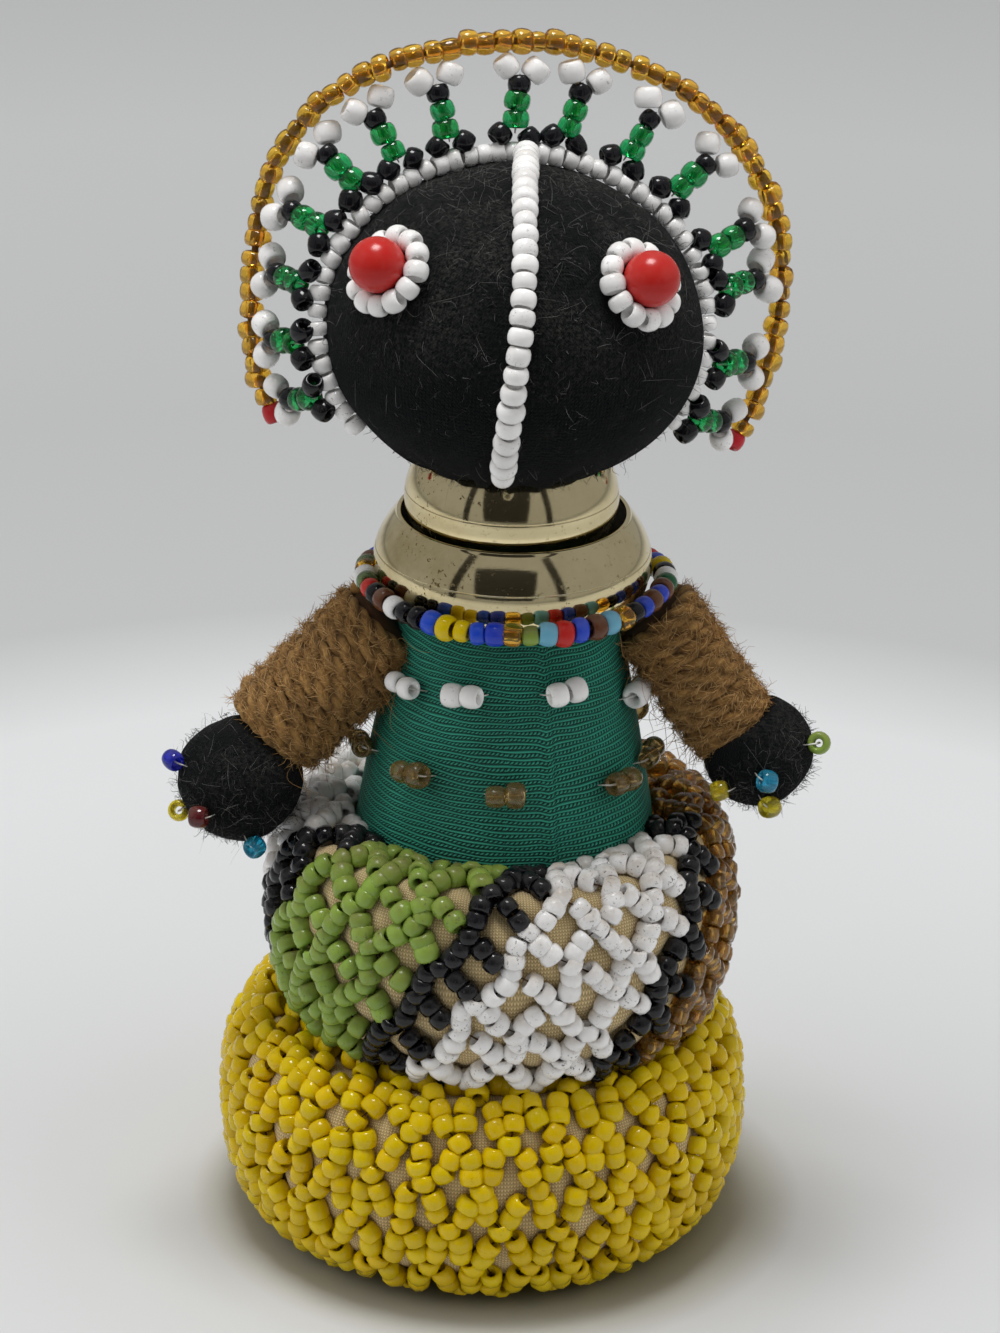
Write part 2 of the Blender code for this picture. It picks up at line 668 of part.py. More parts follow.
def arm(side, shoulder, wrist, radius, cutter):
    """Arm wound with twine: a ridge for each turn, rounded off at both ends."""
    length = (wrist - shoulder).length
    along = (wrist - shoulder).normalized()
    across = Vector((0.0, 1.0, 0.0)).cross(along).normalized()
    deep = along.cross(across)
    turns = round(length / TWINE_PITCH)
    pitch = length / turns
    stations = [(0.0, SHOULDER_END * radius)]
    for index in range(turns):
        stations.append(((index + 0.5) * pitch, radius))
        if index < turns - 1:
            stations.append(((index + 1) * pitch, radius - TWINE_GROOVE))
    stations.append((length, WRIST_END * radius))
    sections = []
    for distance, size in stations:
        centre = shoulder + along * distance
        sections.append([centre + (across * math.cos(TURN * corner / ARM_SIDES)
                                   + deep * math.sin(TURN * corner / ARM_SIDES)) * size
                         for corner in range(ARM_SIDES)])
    item = add_solid(side + "_arm", loft(sections, False), "jute twine", 60.0)
    trim = item.modifiers.new("trim against torso", "BOOLEAN")
    trim.operation = "DIFFERENCE"
    trim.solver = "EXACT"
    trim.object = cutter
    return item


def hand(side, centre, radius, shoulder, wrist):
    """Felt ball, cut flat where it meets the wrist."""
    along = (wrist - shoulder).normalized()
    bm = bmesh.new()
    bmesh.ops.create_uvsphere(bm, u_segments=HAND_SIDES, v_segments=HAND_ROWS, radius=radius)
    bmesh.ops.transform(bm, matrix=along.to_track_quat("Z", "Y").to_matrix().to_4x4(), verts=bm.verts)
    bmesh.ops.translate(bm, verts=bm.verts, vec=centre)
    everything = bm.verts[:] + bm.edges[:] + bm.faces[:]
    cut = bmesh.ops.bisect_plane(bm, geom=everything, plane_co=wrist + along * GAP, plane_no=-along,
                                 clear_outer=True, dist=0.001 * MM)
    rim = [item for item in cut["geom_cut"] if isinstance(item, bmesh.types.BMEdge)]
    bmesh.ops.edgenet_fill(bm, edges=rim)
    return add_solid(side + "_hand", bm, "black felt")


def finger_bead(side, colour, place, centre, radius):
    """One bead standing on the hand, at a turn and a rise from its centre."""
    turn = math.radians(place[0])
    rise = math.radians(place[1])
    towards = Vector((math.sin(turn) * math.cos(rise), -math.cos(turn) * math.cos(rise), math.sin(rise)))
    middle = centre + towards * (radius + GAP + FINGER_BEAD / 2)
    half = FINGER_BEAD / 2
    profile = [(0.0, -0.9 * half), (0.6 * half, -0.9 * half), (half, 0.0), (0.6 * half, 0.9 * half),
               (0.0, 0.9 * half)]
    matrix = Matrix.Translation(middle) @ towards.to_track_quat("Z", "Y").to_matrix().to_4x4()
    name = "%s_finger_bead_%s" % (side, colour)
    return add_solid(name, turned(profile, 6, False, matrix), "finger beads")


def bead_pair(name, place, finish):
    """Two beads sewn side by side on the torso, as one short string."""
    turn = math.radians(place[0])
    height = TORSO_TOP - place[1] * MM
    step = 1.0 * MM
    out = Vector((math.sin(turn), -math.cos(turn), 0.0))
    slope = (torso_radius(height - step) - torso_radius(height + step)) / (2 * step)
    outward = (out + Vector((0, 0, slope))).normalized()
    across = Vector((math.cos(turn), math.sin(turn), 0.0))
    upward = outward.cross(across)
    centre = (out * torso_radius(height) + Vector((0, 0, height))
              + outward * (GAP + PAIR_BEAD / 2))
    half = PAIR_LENGTH / 2
    bead = PAIR_BEAD / 2
    sizes = [(-half, 0.6 * bead), (-0.5 * half, bead), (0.0, 0.65 * bead), (0.5 * half, bead),
             (half, 0.6 * bead)]
    sections = []
    for distance, size in sizes:
        middle = centre + across * distance
        sections.append([middle + outward * size, middle + upward * size,
                         middle - outward * size, middle - upward * size])
    return add_solid(name, loft(sections, False), finish, 30.0)


def skirt():
    """Both stuffed rings with their nets."""
    cushion(LOWER_RING)
    bead_net(LOWER_RING, "yellow beads")
    cushion(UPPER_RING)
    bead_net(UPPER_RING, "mixed beads")


def torso_and_trim():
    """Torso cone with its sewn bead pairs."""
    add_solid("torso", turned(torso_profile(), TORSO_SIDES, False), "green thread")
    for number, place in enumerate(WHITE_PAIR_PLACES, 1):
        bead_pair("white_bead_pair_%d" % number, place, "white beads")
    for number, place in enumerate(AMBER_PAIR_PLACES, 1):
        bead_pair("amber_bead_pair_%d" % number, place, "amber beads")


def neck_dress():
    """Brass rings and the necklace round them."""
    brass_band("lower_brass_ring", LOWER_BRASS_FOOT, LOWER_BRASS_FOOT_RADIUS, LOWER_BRASS_RADIUS,
               LOWER_BRASS_RIM, LOWER_BRASS_RIM_RADIUS)
    brass_band("upper_brass_ring", UPPER_BRASS_FOOT, UPPER_BRASS_FOOT_RADIUS, UPPER_BRASS_RADIUS,
               UPPER_BRASS_RIM, UPPER_BRASS_RIM_RADIUS)
    necklace()


def head_and_crown():
    """Head with its eyes, parting strand and bead crown."""
    head()
    parting_strand()
    eye("left", LEFT_EYE)
    eye("right", RIGHT_EYE)
    crown_row()
    for index in range(len(SPOKE_TURNS)):
        crown_spoke(index)
    crown_arc()


def beside_torso(side, reach, drop, forward):
    """Point at a drop below the torso's top, standing off its surface by the reach. The side
    is -1 for the left arm in front view and 1 for the right one."""
    height = TORSO_TOP - drop
    return Vector((side * (torso_radius(height) + reach), -forward, height))


def arms_and_hands():
    """Both arms, their hands and the finger beads."""
    cutter = torso_cutter()
    shoulder = beside_torso(-1, LEFT_SHOULDER_REACH, LEFT_SHOULDER_DROP, SHOULDER_FORWARD)
    wrist = beside_torso(-1, LEFT_WRIST_REACH, LEFT_WRIST_DROP, LEFT_WRIST_FORWARD)
    centre = wrist + Vector((-LEFT_HAND_ASIDE, -LEFT_HAND_FORWARD, -LEFT_HAND_DROP))
    arm("left", shoulder, wrist, LEFT_ARM_RADIUS, cutter)
    hand("left", centre, LEFT_HAND_RADIUS, shoulder, wrist)
    for colour, place in LEFT_FINGERS.items():
        finger_bead("left", colour, place, centre, LEFT_HAND_RADIUS)
    shoulder = beside_torso(1, RIGHT_SHOULDER_REACH, RIGHT_SHOULDER_DROP, SHOULDER_FORWARD)
    wrist = beside_torso(1, RIGHT_WRIST_REACH, RIGHT_WRIST_DROP, RIGHT_WRIST_FORWARD)
    centre = wrist + Vector((RIGHT_HAND_ASIDE, -RIGHT_HAND_FORWARD, -RIGHT_HAND_DROP))
    arm("right", shoulder, wrist, RIGHT_ARM_RADIUS, cutter)
    hand("right", centre, RIGHT_HAND_RADIUS, shoulder, wrist)
    for colour, place in RIGHT_FINGERS.items():
        finger_bead("right", colour, place, centre, RIGHT_HAND_RADIUS)


def main():
    """Build the whole doll."""
    clear_scene()
    skirt()
    torso_and_trim()
    neck_dress()
    head_and_crown()
    arms_and_hands()


main()
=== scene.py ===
# %% [markdown]
# # A beaded doll
# The doll is a stuffed figure a hand's breadth and a half tall. Two cloth rings in bead nets
# make her skirt, a cone wound with green thread is her body, and she has twine arms, felt
# hands, brass neck rings, a bead necklace and a felt head with a fan of beads.
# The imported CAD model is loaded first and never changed. Each piece below is worked out with
# numpy in the same frame, takes the place of its CAD solid and rides on the body named root.

# %% Load the frame
import math
import bpy
import numpy as np
from mathutils import Matrix, Vector


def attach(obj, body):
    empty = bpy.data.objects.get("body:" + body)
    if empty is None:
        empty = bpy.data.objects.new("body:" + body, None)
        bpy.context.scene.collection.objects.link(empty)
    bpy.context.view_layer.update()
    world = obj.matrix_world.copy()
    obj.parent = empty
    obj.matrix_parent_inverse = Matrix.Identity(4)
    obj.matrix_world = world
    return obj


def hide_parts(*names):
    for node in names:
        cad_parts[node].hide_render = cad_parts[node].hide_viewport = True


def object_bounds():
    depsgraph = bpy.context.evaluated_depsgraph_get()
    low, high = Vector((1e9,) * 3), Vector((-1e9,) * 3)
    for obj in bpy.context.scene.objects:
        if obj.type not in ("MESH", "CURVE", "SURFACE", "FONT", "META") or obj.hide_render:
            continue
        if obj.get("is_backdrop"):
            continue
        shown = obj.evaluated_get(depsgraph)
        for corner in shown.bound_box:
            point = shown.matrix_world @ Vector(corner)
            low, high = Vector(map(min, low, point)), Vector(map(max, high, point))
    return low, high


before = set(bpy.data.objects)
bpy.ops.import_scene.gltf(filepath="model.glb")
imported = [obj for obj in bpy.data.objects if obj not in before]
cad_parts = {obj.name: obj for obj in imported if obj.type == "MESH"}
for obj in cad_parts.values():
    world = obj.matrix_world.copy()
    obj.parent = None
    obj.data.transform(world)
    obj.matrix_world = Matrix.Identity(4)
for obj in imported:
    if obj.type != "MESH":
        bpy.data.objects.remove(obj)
CAD_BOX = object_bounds()
MM = 0.001
TURN = 2 * math.pi
draw = np.random.default_rng(11)
print("CAD nodes:", len(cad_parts), "box", [tuple(round(c, 4) for c in p) for p in CAD_BOX])

# %% [markdown]
# ## Camera
# The camera comes first, so that every later look is from the photograph's own angle: half a
# metre away, 24 degrees above the table, with a long lens and a slight roll. A long lens keeps
# the upright lines nearly parallel, as a telephoto picture of a small object does.

# %% Camera
VIEW_TARGET = Vector((-0.9, 0.0, 67.4)) * MM
VIEW_DISTANCE = 505 * MM
VIEW_RISE = math.radians(24.0)
VIEW_ROLL = math.radians(1.2)
camera = bpy.data.objects.new("camera", bpy.data.cameras.new("camera"))
camera.data.lens = 121.5
camera.data.sensor_width = 36.0
camera.data.clip_start = 0.02
toward = Vector((0.0, -math.cos(VIEW_RISE), math.sin(VIEW_RISE)))
place = Matrix.Translation(VIEW_TARGET + toward * VIEW_DISTANCE)
camera.matrix_world = (place @ Matrix.Rotation(math.pi / 2 - VIEW_RISE, 4, "X")
                       @ Matrix.Rotation(VIEW_ROLL, 4, "Z"))
bpy.context.scene.collection.objects.link(camera)
bpy.context.scene.camera = camera
bpy.context.scene.view_settings.view_transform = "Standard"
print("camera at", tuple(round(c, 3) for c in camera.matrix_world.translation))

# %% [markdown]
# ## Arrays and meshes
# A shape here is a grid of points: the rows follow one parameter and the columns the other.
# Quads join neighbours, and the same helpers serve cloth, brass, thread and beads. The
# arrays are handed to Blender whole with foreach_set, which is much faster than adding one
# vertex at a time in a loop.

# %% Helpers for grids
def unit(vectors):
    """Each vector divided by its own length."""
    return vectors / np.linalg.norm(vectors, axis=-1, keepdims=True)


def grid_faces(rows, columns, wrap_rows=False):
    """Quads of a grid whose point (row, column) has the number row * columns + column. The last
    column always joins the first, and the last row only if wrap_rows says so."""
    row = np.arange(rows if wrap_rows else rows - 1)[:, None]
    column = np.arange(columns)[None, :]
    below = (row + 1) % rows
    beside = (column + 1) % columns
    return np.stack([row * columns + column, row * columns + beside,
                     below * columns + beside, below * columns + column], -1).reshape(-1, 4)


def grid_uv(rows, columns, across, along, wrap_rows=False):
    """A (u, v) for each corner of grid_faces: u runs with the columns and v with the rows."""
    row = np.arange(rows if wrap_rows else rows - 1)[:, None, None] + np.array([0, 0, 1, 1])
    column = np.arange(columns)[None, :, None] + np.array([0, 1, 1, 0])
    row, column = np.broadcast_arrays(row, column)
    return np.stack([column * across / columns, row * along / rows], -1).reshape(-1, 2)


def cap_faces(rows, columns):
    """Triangles from the first and last row to two end points numbered after the grid."""
    one = np.arange(columns)
    two = (one + 1) % columns
    last = (rows - 1) * columns
    end = rows * columns
    return np.concatenate([np.stack([two, one, one * 0 + end], -1),
                           np.stack([last + one, last + two, one * 0 + end + 1], -1)])


def copies(faces, points_each, count):
    """The faces of count copies of one shape, each copy's numbers after the last one's."""
    shift = points_each * np.arange(count)[:, None, None]
    return (faces[None] + shift).reshape(-1, faces.shape[1])


def volume(points, faces):
    """Six times the volume inside the faces: the sum of each triangle's a . (b x c)."""
    first, *rest = [points[faces[:, k]] for k in range(faces.shape[1])]
    return sum(np.einsum("ij,ij->", first, np.cross(a, b)) for a, b in zip(rest, rest[1:]))


def make_piece(name, points, face_sets, finishes, stands_for=(), uv=None, tone=None,
               pick=None):
    """A mesh object from points in millimetres, with its faces turned outwards, its finishes,
    and for each point a tone from 0 to 1, which varies the finish from bead to bead, and on the
    twine marks the creases where the finish paints shade."""
    if sum(volume(points, faces) for faces in face_sets) < 0:
        face_sets = [faces[:, ::-1] for faces in face_sets]
        uv = None if uv is None else uv.reshape(-1, 4, 2)[:, ::-1].reshape(-1, 2)
    corners = np.concatenate([faces.ravel() for faces in face_sets]).astype(np.int32)
    sizes = np.concatenate([np.full(len(faces), faces.shape[1]) for faces in face_sets])
    mesh = bpy.data.meshes.new(name)
    mesh.vertices.add(len(points))
    mesh.vertices.foreach_set("co", (points * MM).astype(np.float32).ravel())
    mesh.loops.add(len(corners))
    mesh.loops.foreach_set("vertex_index", corners)
    mesh.polygons.add(len(sizes))
    mesh.polygons.foreach_set("loop_start", (np.cumsum(sizes) - sizes).astype(np.int32))
    if pick is not None:
        mesh.polygons.foreach_set("material_index", pick.astype(np.int32))
    if uv is not None:
        spare = np.zeros((len(corners) - len(uv), 2))
        layer = mesh.uv_layers.new(name="surface")
        layer.data.foreach_set("uv", np.concatenate([uv, spare]).astype(np.float32).ravel())
    if tone is not None:
        layer = mesh.attributes.new("tone", "FLOAT", "POINT")
        layer.data.foreach_set("value", tone.astype(np.float32))
    mesh.update(calc_edges=True)
    mesh.polygons.foreach_set("use_smooth", np.ones(len(sizes), bool))
    for finish in finishes:
        mesh.materials.append(finish)
    item = bpy.data.objects.new(name, mesh)
    bpy.context.scene.collection.objects.link(item)
    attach(item, "root")
    if stands_for:
        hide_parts(*stands_for)
    print(f"{name}: {len(points)} points, {int((sizes - 2).sum())} triangles")
    return item


def signed_power(wave, power):
    """A wave raised to a power, with its sign kept."""
    return np.sign(wave) * np.abs(wave) ** power


def ripple(points, size, strength, seed):
    """Smooth unevenness: six sine waves of about that size crossing in all directions."""
    waves = np.random.default_rng(seed)
    ways = unit(waves.normal(size=(6, 3))) * TURN / (size * waves.uniform(0.7, 1.4, (6, 1)))
    return strength * np.sin(points @ ways.T + waves.uniform(0, TURN, 6)).mean(-1) * 2


# %% [markdown]
# ## Finishes
# Every finish is a Principled BSDF. What several finishes share is built once as a node group
# with named sockets: the small difference between one bead and the next, dust that settles on
# upward faces, which on the felt is painted light from above, dark specks of dirt, the fibres of
# felt and twine, and the stitches of a knit.

# %% Node helpers
def add_node(tree, kind, settings=None, **sockets):
    """A new node, with each named socket set to a value or joined to another node's output."""
    item = tree.nodes.new(kind)
    for key, value in (settings or {}).items():
        setattr(item, key, value)
    for key, value in sockets.items():
        put(tree, item.inputs[key.replace("_", " ")], value)
    return item


def put(tree, socket, value):
    """Join an output to a socket, or set the socket's own value."""
    if isinstance(value, bpy.types.NodeSocket):
        tree.links.new(value, socket)
    else:
        socket.default_value = value


def calc(tree, operation, first, second=0.0, third=0.0, clamp=False):
    """The output of a Math node."""
    item = tree.nodes.new("ShaderNodeMath")
    item.operation = operation
    item.use_clamp = clamp
    for socket, value in zip(item.inputs, (first, second, third)):
        put(tree, socket, value)
    return item.outputs[0]


def mix(tree, share, first, second, how="MIX"):
    """The output of a Mix node for colours."""
    item = add_node(tree, "ShaderNodeMix", {"data_type": "RGBA", "blend_type": how})
    for index, value in ((0, share), (6, first), (7, second)):
        put(tree, item.inputs[index], value)
    return item.outputs[2]


def span(tree, value, low, high, to_low=0.0, to_high=1.0):
    """A value stretched from one span to another and held inside it."""
    item = add_node(tree, "ShaderNodeMapRange", Value=value, From_Min=low, From_Max=high,
                    To_Min=to_low, To_Max=to_high)
    return item.outputs[0]


def cloud(tree, vector, scale, detail=3.0, roughness=0.55):
    """The output of a Noise texture."""
    item = add_node(tree, "ShaderNodeTexNoise", Vector=vector, Scale=scale, Detail=detail,
                    Roughness=roughness)
    return item.outputs["Fac"]


def start_group(name, inputs, outputs):
    """A shader node group with its sockets, and its input and output nodes."""
    tree = bpy.data.node_groups.new(name, "ShaderNodeTree")
    kinds = {"c": "NodeSocketColor", "f": "NodeSocketFloat", "v": "NodeSocketVector"}
    for way, sockets in (("INPUT", inputs), ("OUTPUT", outputs)):
        for label, kind in sockets:
            tree.interface.new_socket(label, in_out=way, socket_type=kinds[kind])
    return tree, tree.nodes.new("NodeGroupInput").outputs, tree.nodes.new("NodeGroupOutput").inputs


def use_group(tree, group, **sockets):
    """The outputs of a group placed in a material."""
    return add_node(tree, "ShaderNodeGroup", {"node_tree": group}, **sockets).outputs


# %% Shared groups
def object_place(tree):
    """The point's place on the object, in metres."""
    return tree.nodes.new("ShaderNodeTexCoord").outputs["Object"]


hand_made, given, result = start_group(
    "one bead from the next", [("Colour", "c"), ("Tone", "f"), ("Spread", "f")], [("Colour", "c")])
both_ways = calc(hand_made, "MULTIPLY", given["Spread"], 2.0)
darkest = calc(hand_made, "SUBTRACT", 1.0, given["Spread"])
around_one = calc(hand_made, "MULTIPLY_ADD", given["Tone"], both_ways, darkest)
other_draw = calc(hand_made, "FRACT", calc(hand_made, "MULTIPLY", given["Tone"], 7.31))
lean_hue = span(hand_made, other_draw, 0.0, 1.0, 0.494, 0.506)
hand_made.links.new(add_node(hand_made, "ShaderNodeHueSaturation", Color=given["Colour"],
                             Hue=lean_hue, Value=around_one).outputs[0], result["Colour"])

dust_and_top_light, given, result = start_group(
    "settled dust and painted top light", [("Colour", "c"), ("Dust", "c"), ("Amount", "f"), ("Size", "f")],
    [("Colour", "c"), ("Mask", "f")])
upward = add_node(dust_and_top_light, "ShaderNodeSeparateXYZ",
                  Vector=dust_and_top_light.nodes.new("ShaderNodeNewGeometry").outputs["Normal"])
facing = span(dust_and_top_light, upward.outputs["Z"], -0.15, 0.95)
patches = span(dust_and_top_light, cloud(dust_and_top_light, object_place(dust_and_top_light), given["Size"]),
               0.36, 0.66)
dust_and_top_light_mask = calc(dust_and_top_light, "MULTIPLY", calc(dust_and_top_light, "MULTIPLY", facing, patches),
                 given["Amount"], clamp=True)
dust_and_top_light.links.new(mix(dust_and_top_light, dust_and_top_light_mask, given["Colour"], given["Dust"]),
                       result["Colour"])
dust_and_top_light.links.new(dust_and_top_light_mask, result["Mask"])

dirt_specks, given, result = start_group(
    "specks of dirt", [("Colour", "c"), ("Speck", "c"), ("Amount", "f"), ("Size", "f")],
    [("Colour", "c"), ("Mask", "f")])
fine = cloud(dirt_specks, object_place(dirt_specks), given["Size"], 2.0, 0.7)
broad = span(dirt_specks, cloud(dirt_specks, object_place(dirt_specks), 190.0, 2.0), 0.45, 0.62)
speck_mask = calc(dirt_specks, "MULTIPLY", calc(dirt_specks, "MULTIPLY", span(
    dirt_specks, fine, 0.60, 0.70), broad), given["Amount"], clamp=True)
dirt_specks.links.new(mix(dirt_specks, speck_mask, given["Colour"], given["Speck"]),
                      result["Colour"])
dirt_specks.links.new(speck_mask, result["Mask"])

fibres, given, result = start_group(
    "matted fibres", [("Size", "f"), ("Stretch", "v")], [("Height", "f"), ("Streak", "f")])
bent = add_node(fibres, "ShaderNodeTexNoise", Vector=object_place(fibres), Scale=260.0)
swirl = add_node(fibres, "ShaderNodeVectorMath", {"operation": "MULTIPLY_ADD"})
fibres.links.new(bent.outputs["Color"], swirl.inputs[0])
swirl.inputs[1].default_value = (0.004, 0.004, 0.004)
fibres.links.new(object_place(fibres), swirl.inputs[2])
along = add_node(fibres, "ShaderNodeMapping", Vector=swirl.outputs[0], Scale=given["Stretch"])
long_hairs = cloud(fibres, along.outputs[0], given["Size"], 4.0, 0.65)
ridged = calc(fibres, "ABSOLUTE", calc(fibres, "SUBTRACT", long_hairs, 0.5))
fibres.links.new(calc(fibres, "SUBTRACT", 1.0, calc(fibres, "MULTIPLY", ridged, 4.0)),
                 result["Height"])
fibres.links.new(span(fibres, long_hairs, 0.56, 0.72), result["Streak"])

knit, given, result = start_group(
    "jersey knit", [("Wale", "f"), ("Course", "f")], [("Height", "f"), ("Shade", "f")])
cloth_place = add_node(knit, "ShaderNodeSeparateXYZ", Vector=knit.nodes.new(
    "ShaderNodeTexCoord").outputs["UV"])
wale = calc(knit, "DIVIDE", cloth_place.outputs["X"], given["Wale"])
half_wale = calc(knit, "ABSOLUTE", calc(knit, "SUBTRACT", calc(knit, "FRACT", wale), 0.5))
course = calc(knit, "ADD", calc(knit, "DIVIDE", cloth_place.outputs["Y"], given["Course"]),
              calc(knit, "MULTIPLY", half_wale, 1.3))
loop = calc(knit, "SINE", calc(knit, "MULTIPLY", course, TURN))
groove = calc(knit, "SINE", calc(knit, "MULTIPLY", half_wale, TURN / 2))
knit_height = calc(knit, "MULTIPLY", calc(knit, "MULTIPLY_ADD", loop, 0.5, 0.5), groove)
knit.links.new(knit_height, result["Height"])
knit.links.new(span(knit, knit_height, 0.0, 0.8), result["Shade"])

plied, given, result = start_group(
    "wound two-ply thread", [("Pitch", "f"), ("Lean", "f")], [("Height", "f")])
strand_place = add_node(plied, "ShaderNodeSeparateXYZ", Vector=plied.nodes.new(
    "ShaderNodeTexCoord").outputs["UV"])
twist = calc(plied, "SUBTRACT", calc(plied, "DIVIDE", strand_place.outputs["X"], given["Pitch"]),
             calc(plied, "MULTIPLY", strand_place.outputs["Y"], given["Lean"]))
dashes = calc(plied, "MULTIPLY_ADD", calc(plied, "SINE", calc(plied, "MULTIPLY", twist, TURN)),
              0.85, 0.5, clamp=True)
turn_wave = calc(plied, "SINE", calc(plied, "MULTIPLY", strand_place.outputs["Y"], TURN))
plain_line = calc(plied, "POWER", calc(plied, "MAXIMUM", turn_wave, 0.0), 2.2)
other_half = calc(plied, "MAXIMUM", calc(plied, "MULTIPLY", turn_wave, -1.0), 0.0)
dashed_line = calc(plied, "MULTIPLY", calc(plied, "POWER", other_half, 0.5), dashes)
plied.links.new(calc(plied, "MAXIMUM", plain_line, dashed_line), result["Height"])
print("shared node groups:", [group.name for group in bpy.data.node_groups])


# %% [markdown]
# ## Bead glass
# Seed beads are cut from drawn glass tube and tumbled hot, so each is a rounded barrel with its
# own length and shade. Opaque beads get a smooth glossy surface with dust and specks. Clear
# beads let light through, so their colour comes from Transmission Weight on the shader.

# %% Bead finishes
def new_finish(name):
    """A material with its node tree and its Principled shader."""
    material = bpy.data.materials.new(name)
    material.use_nodes = True
    return material, material.node_tree, material.node_tree.nodes["Principled BSDF"]


def bead_tone(tree):
    """The tone attribute of the bead that a point belongs to."""
    return add_node(tree, "ShaderNodeAttribute", {"attribute_name": "tone"}).outputs["Fac"]


def opaque_bead(name, colour, roughness=0.16, spread=0.10, dust=(0.40, 0.34, 0.27), amount=0.35,
                specks=0.5, speck=(0.10, 0.075, 0.05)):
    """Opaque seed bead glass: a colour that varies by bead, then dust, then specks."""
    material, tree, shader = new_finish(name)
    shade = use_group(tree, hand_made, Colour=(*colour, 1), Tone=bead_tone(tree), Spread=spread)
    dusty = use_group(tree, dust_and_top_light, Colour=shade["Colour"], Dust=(*dust, 1), Amount=amount,
                      Size=420.0)
    dirty = use_group(tree, dirt_specks, Colour=dusty["Colour"], Speck=(*speck, 1),
                      Amount=specks, Size=2600.0)
    put(tree, shader.inputs["Base Color"], dirty["Colour"])
    worn = calc(tree, "MULTIPLY_ADD", dusty["Mask"], 0.3, roughness)
    put(tree, shader.inputs["Roughness"], calc(tree, "MULTIPLY_ADD", dirty["Mask"], 0.3, worn))
    bump = add_node(tree, "ShaderNodeBump", Strength=0.12, Distance=0.00012,
                    Height=cloud(tree, object_place(tree), 900.0, 2.0))
    put(tree, shader.inputs["Normal"], bump.outputs[0])
    shader.inputs["Specular IOR Level"].default_value = 0.4
    return material


def clear_bead(name, colour, roughness=0.08, transmission=0.9, dust=0.25, spread=0.12):
    """Transparent seed bead glass, with a light film of dust on its upper side."""
    material, tree, shader = new_finish(name)
    shade = use_group(tree, hand_made, Colour=(*colour, 1), Tone=bead_tone(tree), Spread=spread)
    dusty = use_group(tree, dust_and_top_light, Colour=shade["Colour"], Dust=(0.45, 0.36, 0.24, 1),
                      Amount=dust, Size=700.0)
    put(tree, shader.inputs["Base Color"], dusty["Colour"])
    put(tree, shader.inputs["Roughness"], calc(tree, "MULTIPLY_ADD", dusty["Mask"], 0.5,
                                               roughness))
    shader.inputs["Transmission Weight"].default_value = transmission
    shader.inputs["IOR"].default_value = 1.5
    return material


WHITE_BEAD = opaque_bead("white seed bead", (0.93, 0.92, 0.91), 0.12, 0.09, amount=0.3,
                         specks=0.5)
NET_WHITE = opaque_bead("handled white seed bead", (0.94, 0.93, 0.92), 0.12, 0.05,
                        dust=(0.42, 0.33, 0.23), amount=0.7, specks=1.0)
YELLOW_BEAD = opaque_bead("yellow seed bead", (0.72, 0.51, 0.0), 0.12, 0.09,
                          dust=(0.42, 0.27, 0.01), amount=0.3, specks=0.3,
                          speck=(0.16, 0.10, 0.01))
LIME_BEAD = opaque_bead("lime seed bead", (0.25, 0.37, 0.06), 0.12, 0.12,
                        dust=(0.17, 0.15, 0.05), amount=0.8, specks=0.9)
BLACK_BEAD = opaque_bead("black seed bead", (0.005, 0.005, 0.007), 0.12, 0.3,
                         dust=(0.06, 0.06, 0.06), amount=0.2, specks=0.2,
                         speck=(0.12, 0.11, 0.10))
NET_BLACK = opaque_bead("handled black seed bead", (0.004, 0.004, 0.006), 0.10, 0.3,
                        dust=(0.08, 0.075, 0.07), amount=0.45, specks=0.3,
                        speck=(0.16, 0.14, 0.12))
RED_BEAD = opaque_bead("red seed bead", (0.50, 0.010, 0.012), 0.24, 0.08, amount=0.08, specks=0.1)
BLUE_BEAD = opaque_bead("blue seed bead", (0.015, 0.055, 0.52), 0.10, 0.15, amount=0.12,
                        specks=0.2)
SKY_BEAD = opaque_bead("light blue seed bead", (0.16, 0.46, 0.62), 0.16, 0.12, amount=0.15)
BROWN_BEAD = opaque_bead("brown seed bead", (0.11, 0.035, 0.012), 0.14, 0.15, amount=0.15)
GREEN_BEAD = opaque_bead("dark green seed bead", (0.012, 0.10, 0.035), 0.14, 0.15, amount=0.15)
AMBER_GLASS = clear_bead("amber glass", (0.95, 0.55, 0.05), 0.04, 0.92, 0.12, 0.12)
BROWN_GLASS = clear_bead("dark amber glass", (0.66, 0.38, 0.08), 0.07, 0.85, 0.35, 0.2)
DUSTY_GLASS = clear_bead("dusty amber glass", (0.42, 0.29, 0.10), 0.09, 0.8, 0.45, 0.15)
EMERALD_GLASS = clear_bead("emerald glass", (0.02, 0.50, 0.14), 0.04, 0.92, 0.1, 0.10)
COBALT_GLASS = clear_bead("cobalt glass", (0.01, 0.03, 0.45), 0.06, 0.6)
GARNET_GLASS = clear_bead("garnet glass", (0.16, 0.015, 0.02), 0.06, 0.5)
TEAL_GLASS = clear_bead("teal glass", (0.02, 0.45, 0.70), 0.06, 0.7)
CITRINE_GLASS = clear_bead("citrine glass", (0.75, 0.62, 0.02), 0.06, 0.7)
MOSS_GLASS = clear_bead("moss glass", (0.20, 0.32, 0.12), 0.08, 0.6)
print("bead finishes:", len(bpy.data.materials))

# %% [markdown]
# ## Cloth, thread, felt, twine and brass
# These finishes show a texture at its true size: stitches a third of a millimetre apart on the
# cushions, twist on the green thread, matted fibres on felt and jute, and fine scratches and
# brown tarnish on the polished brass.

# %% Soft finishes and brass
def tint(colour, factor):
    """A colour times a factor, with the alpha that a colour socket needs."""
    return (*[factor * c for c in colour], 1)


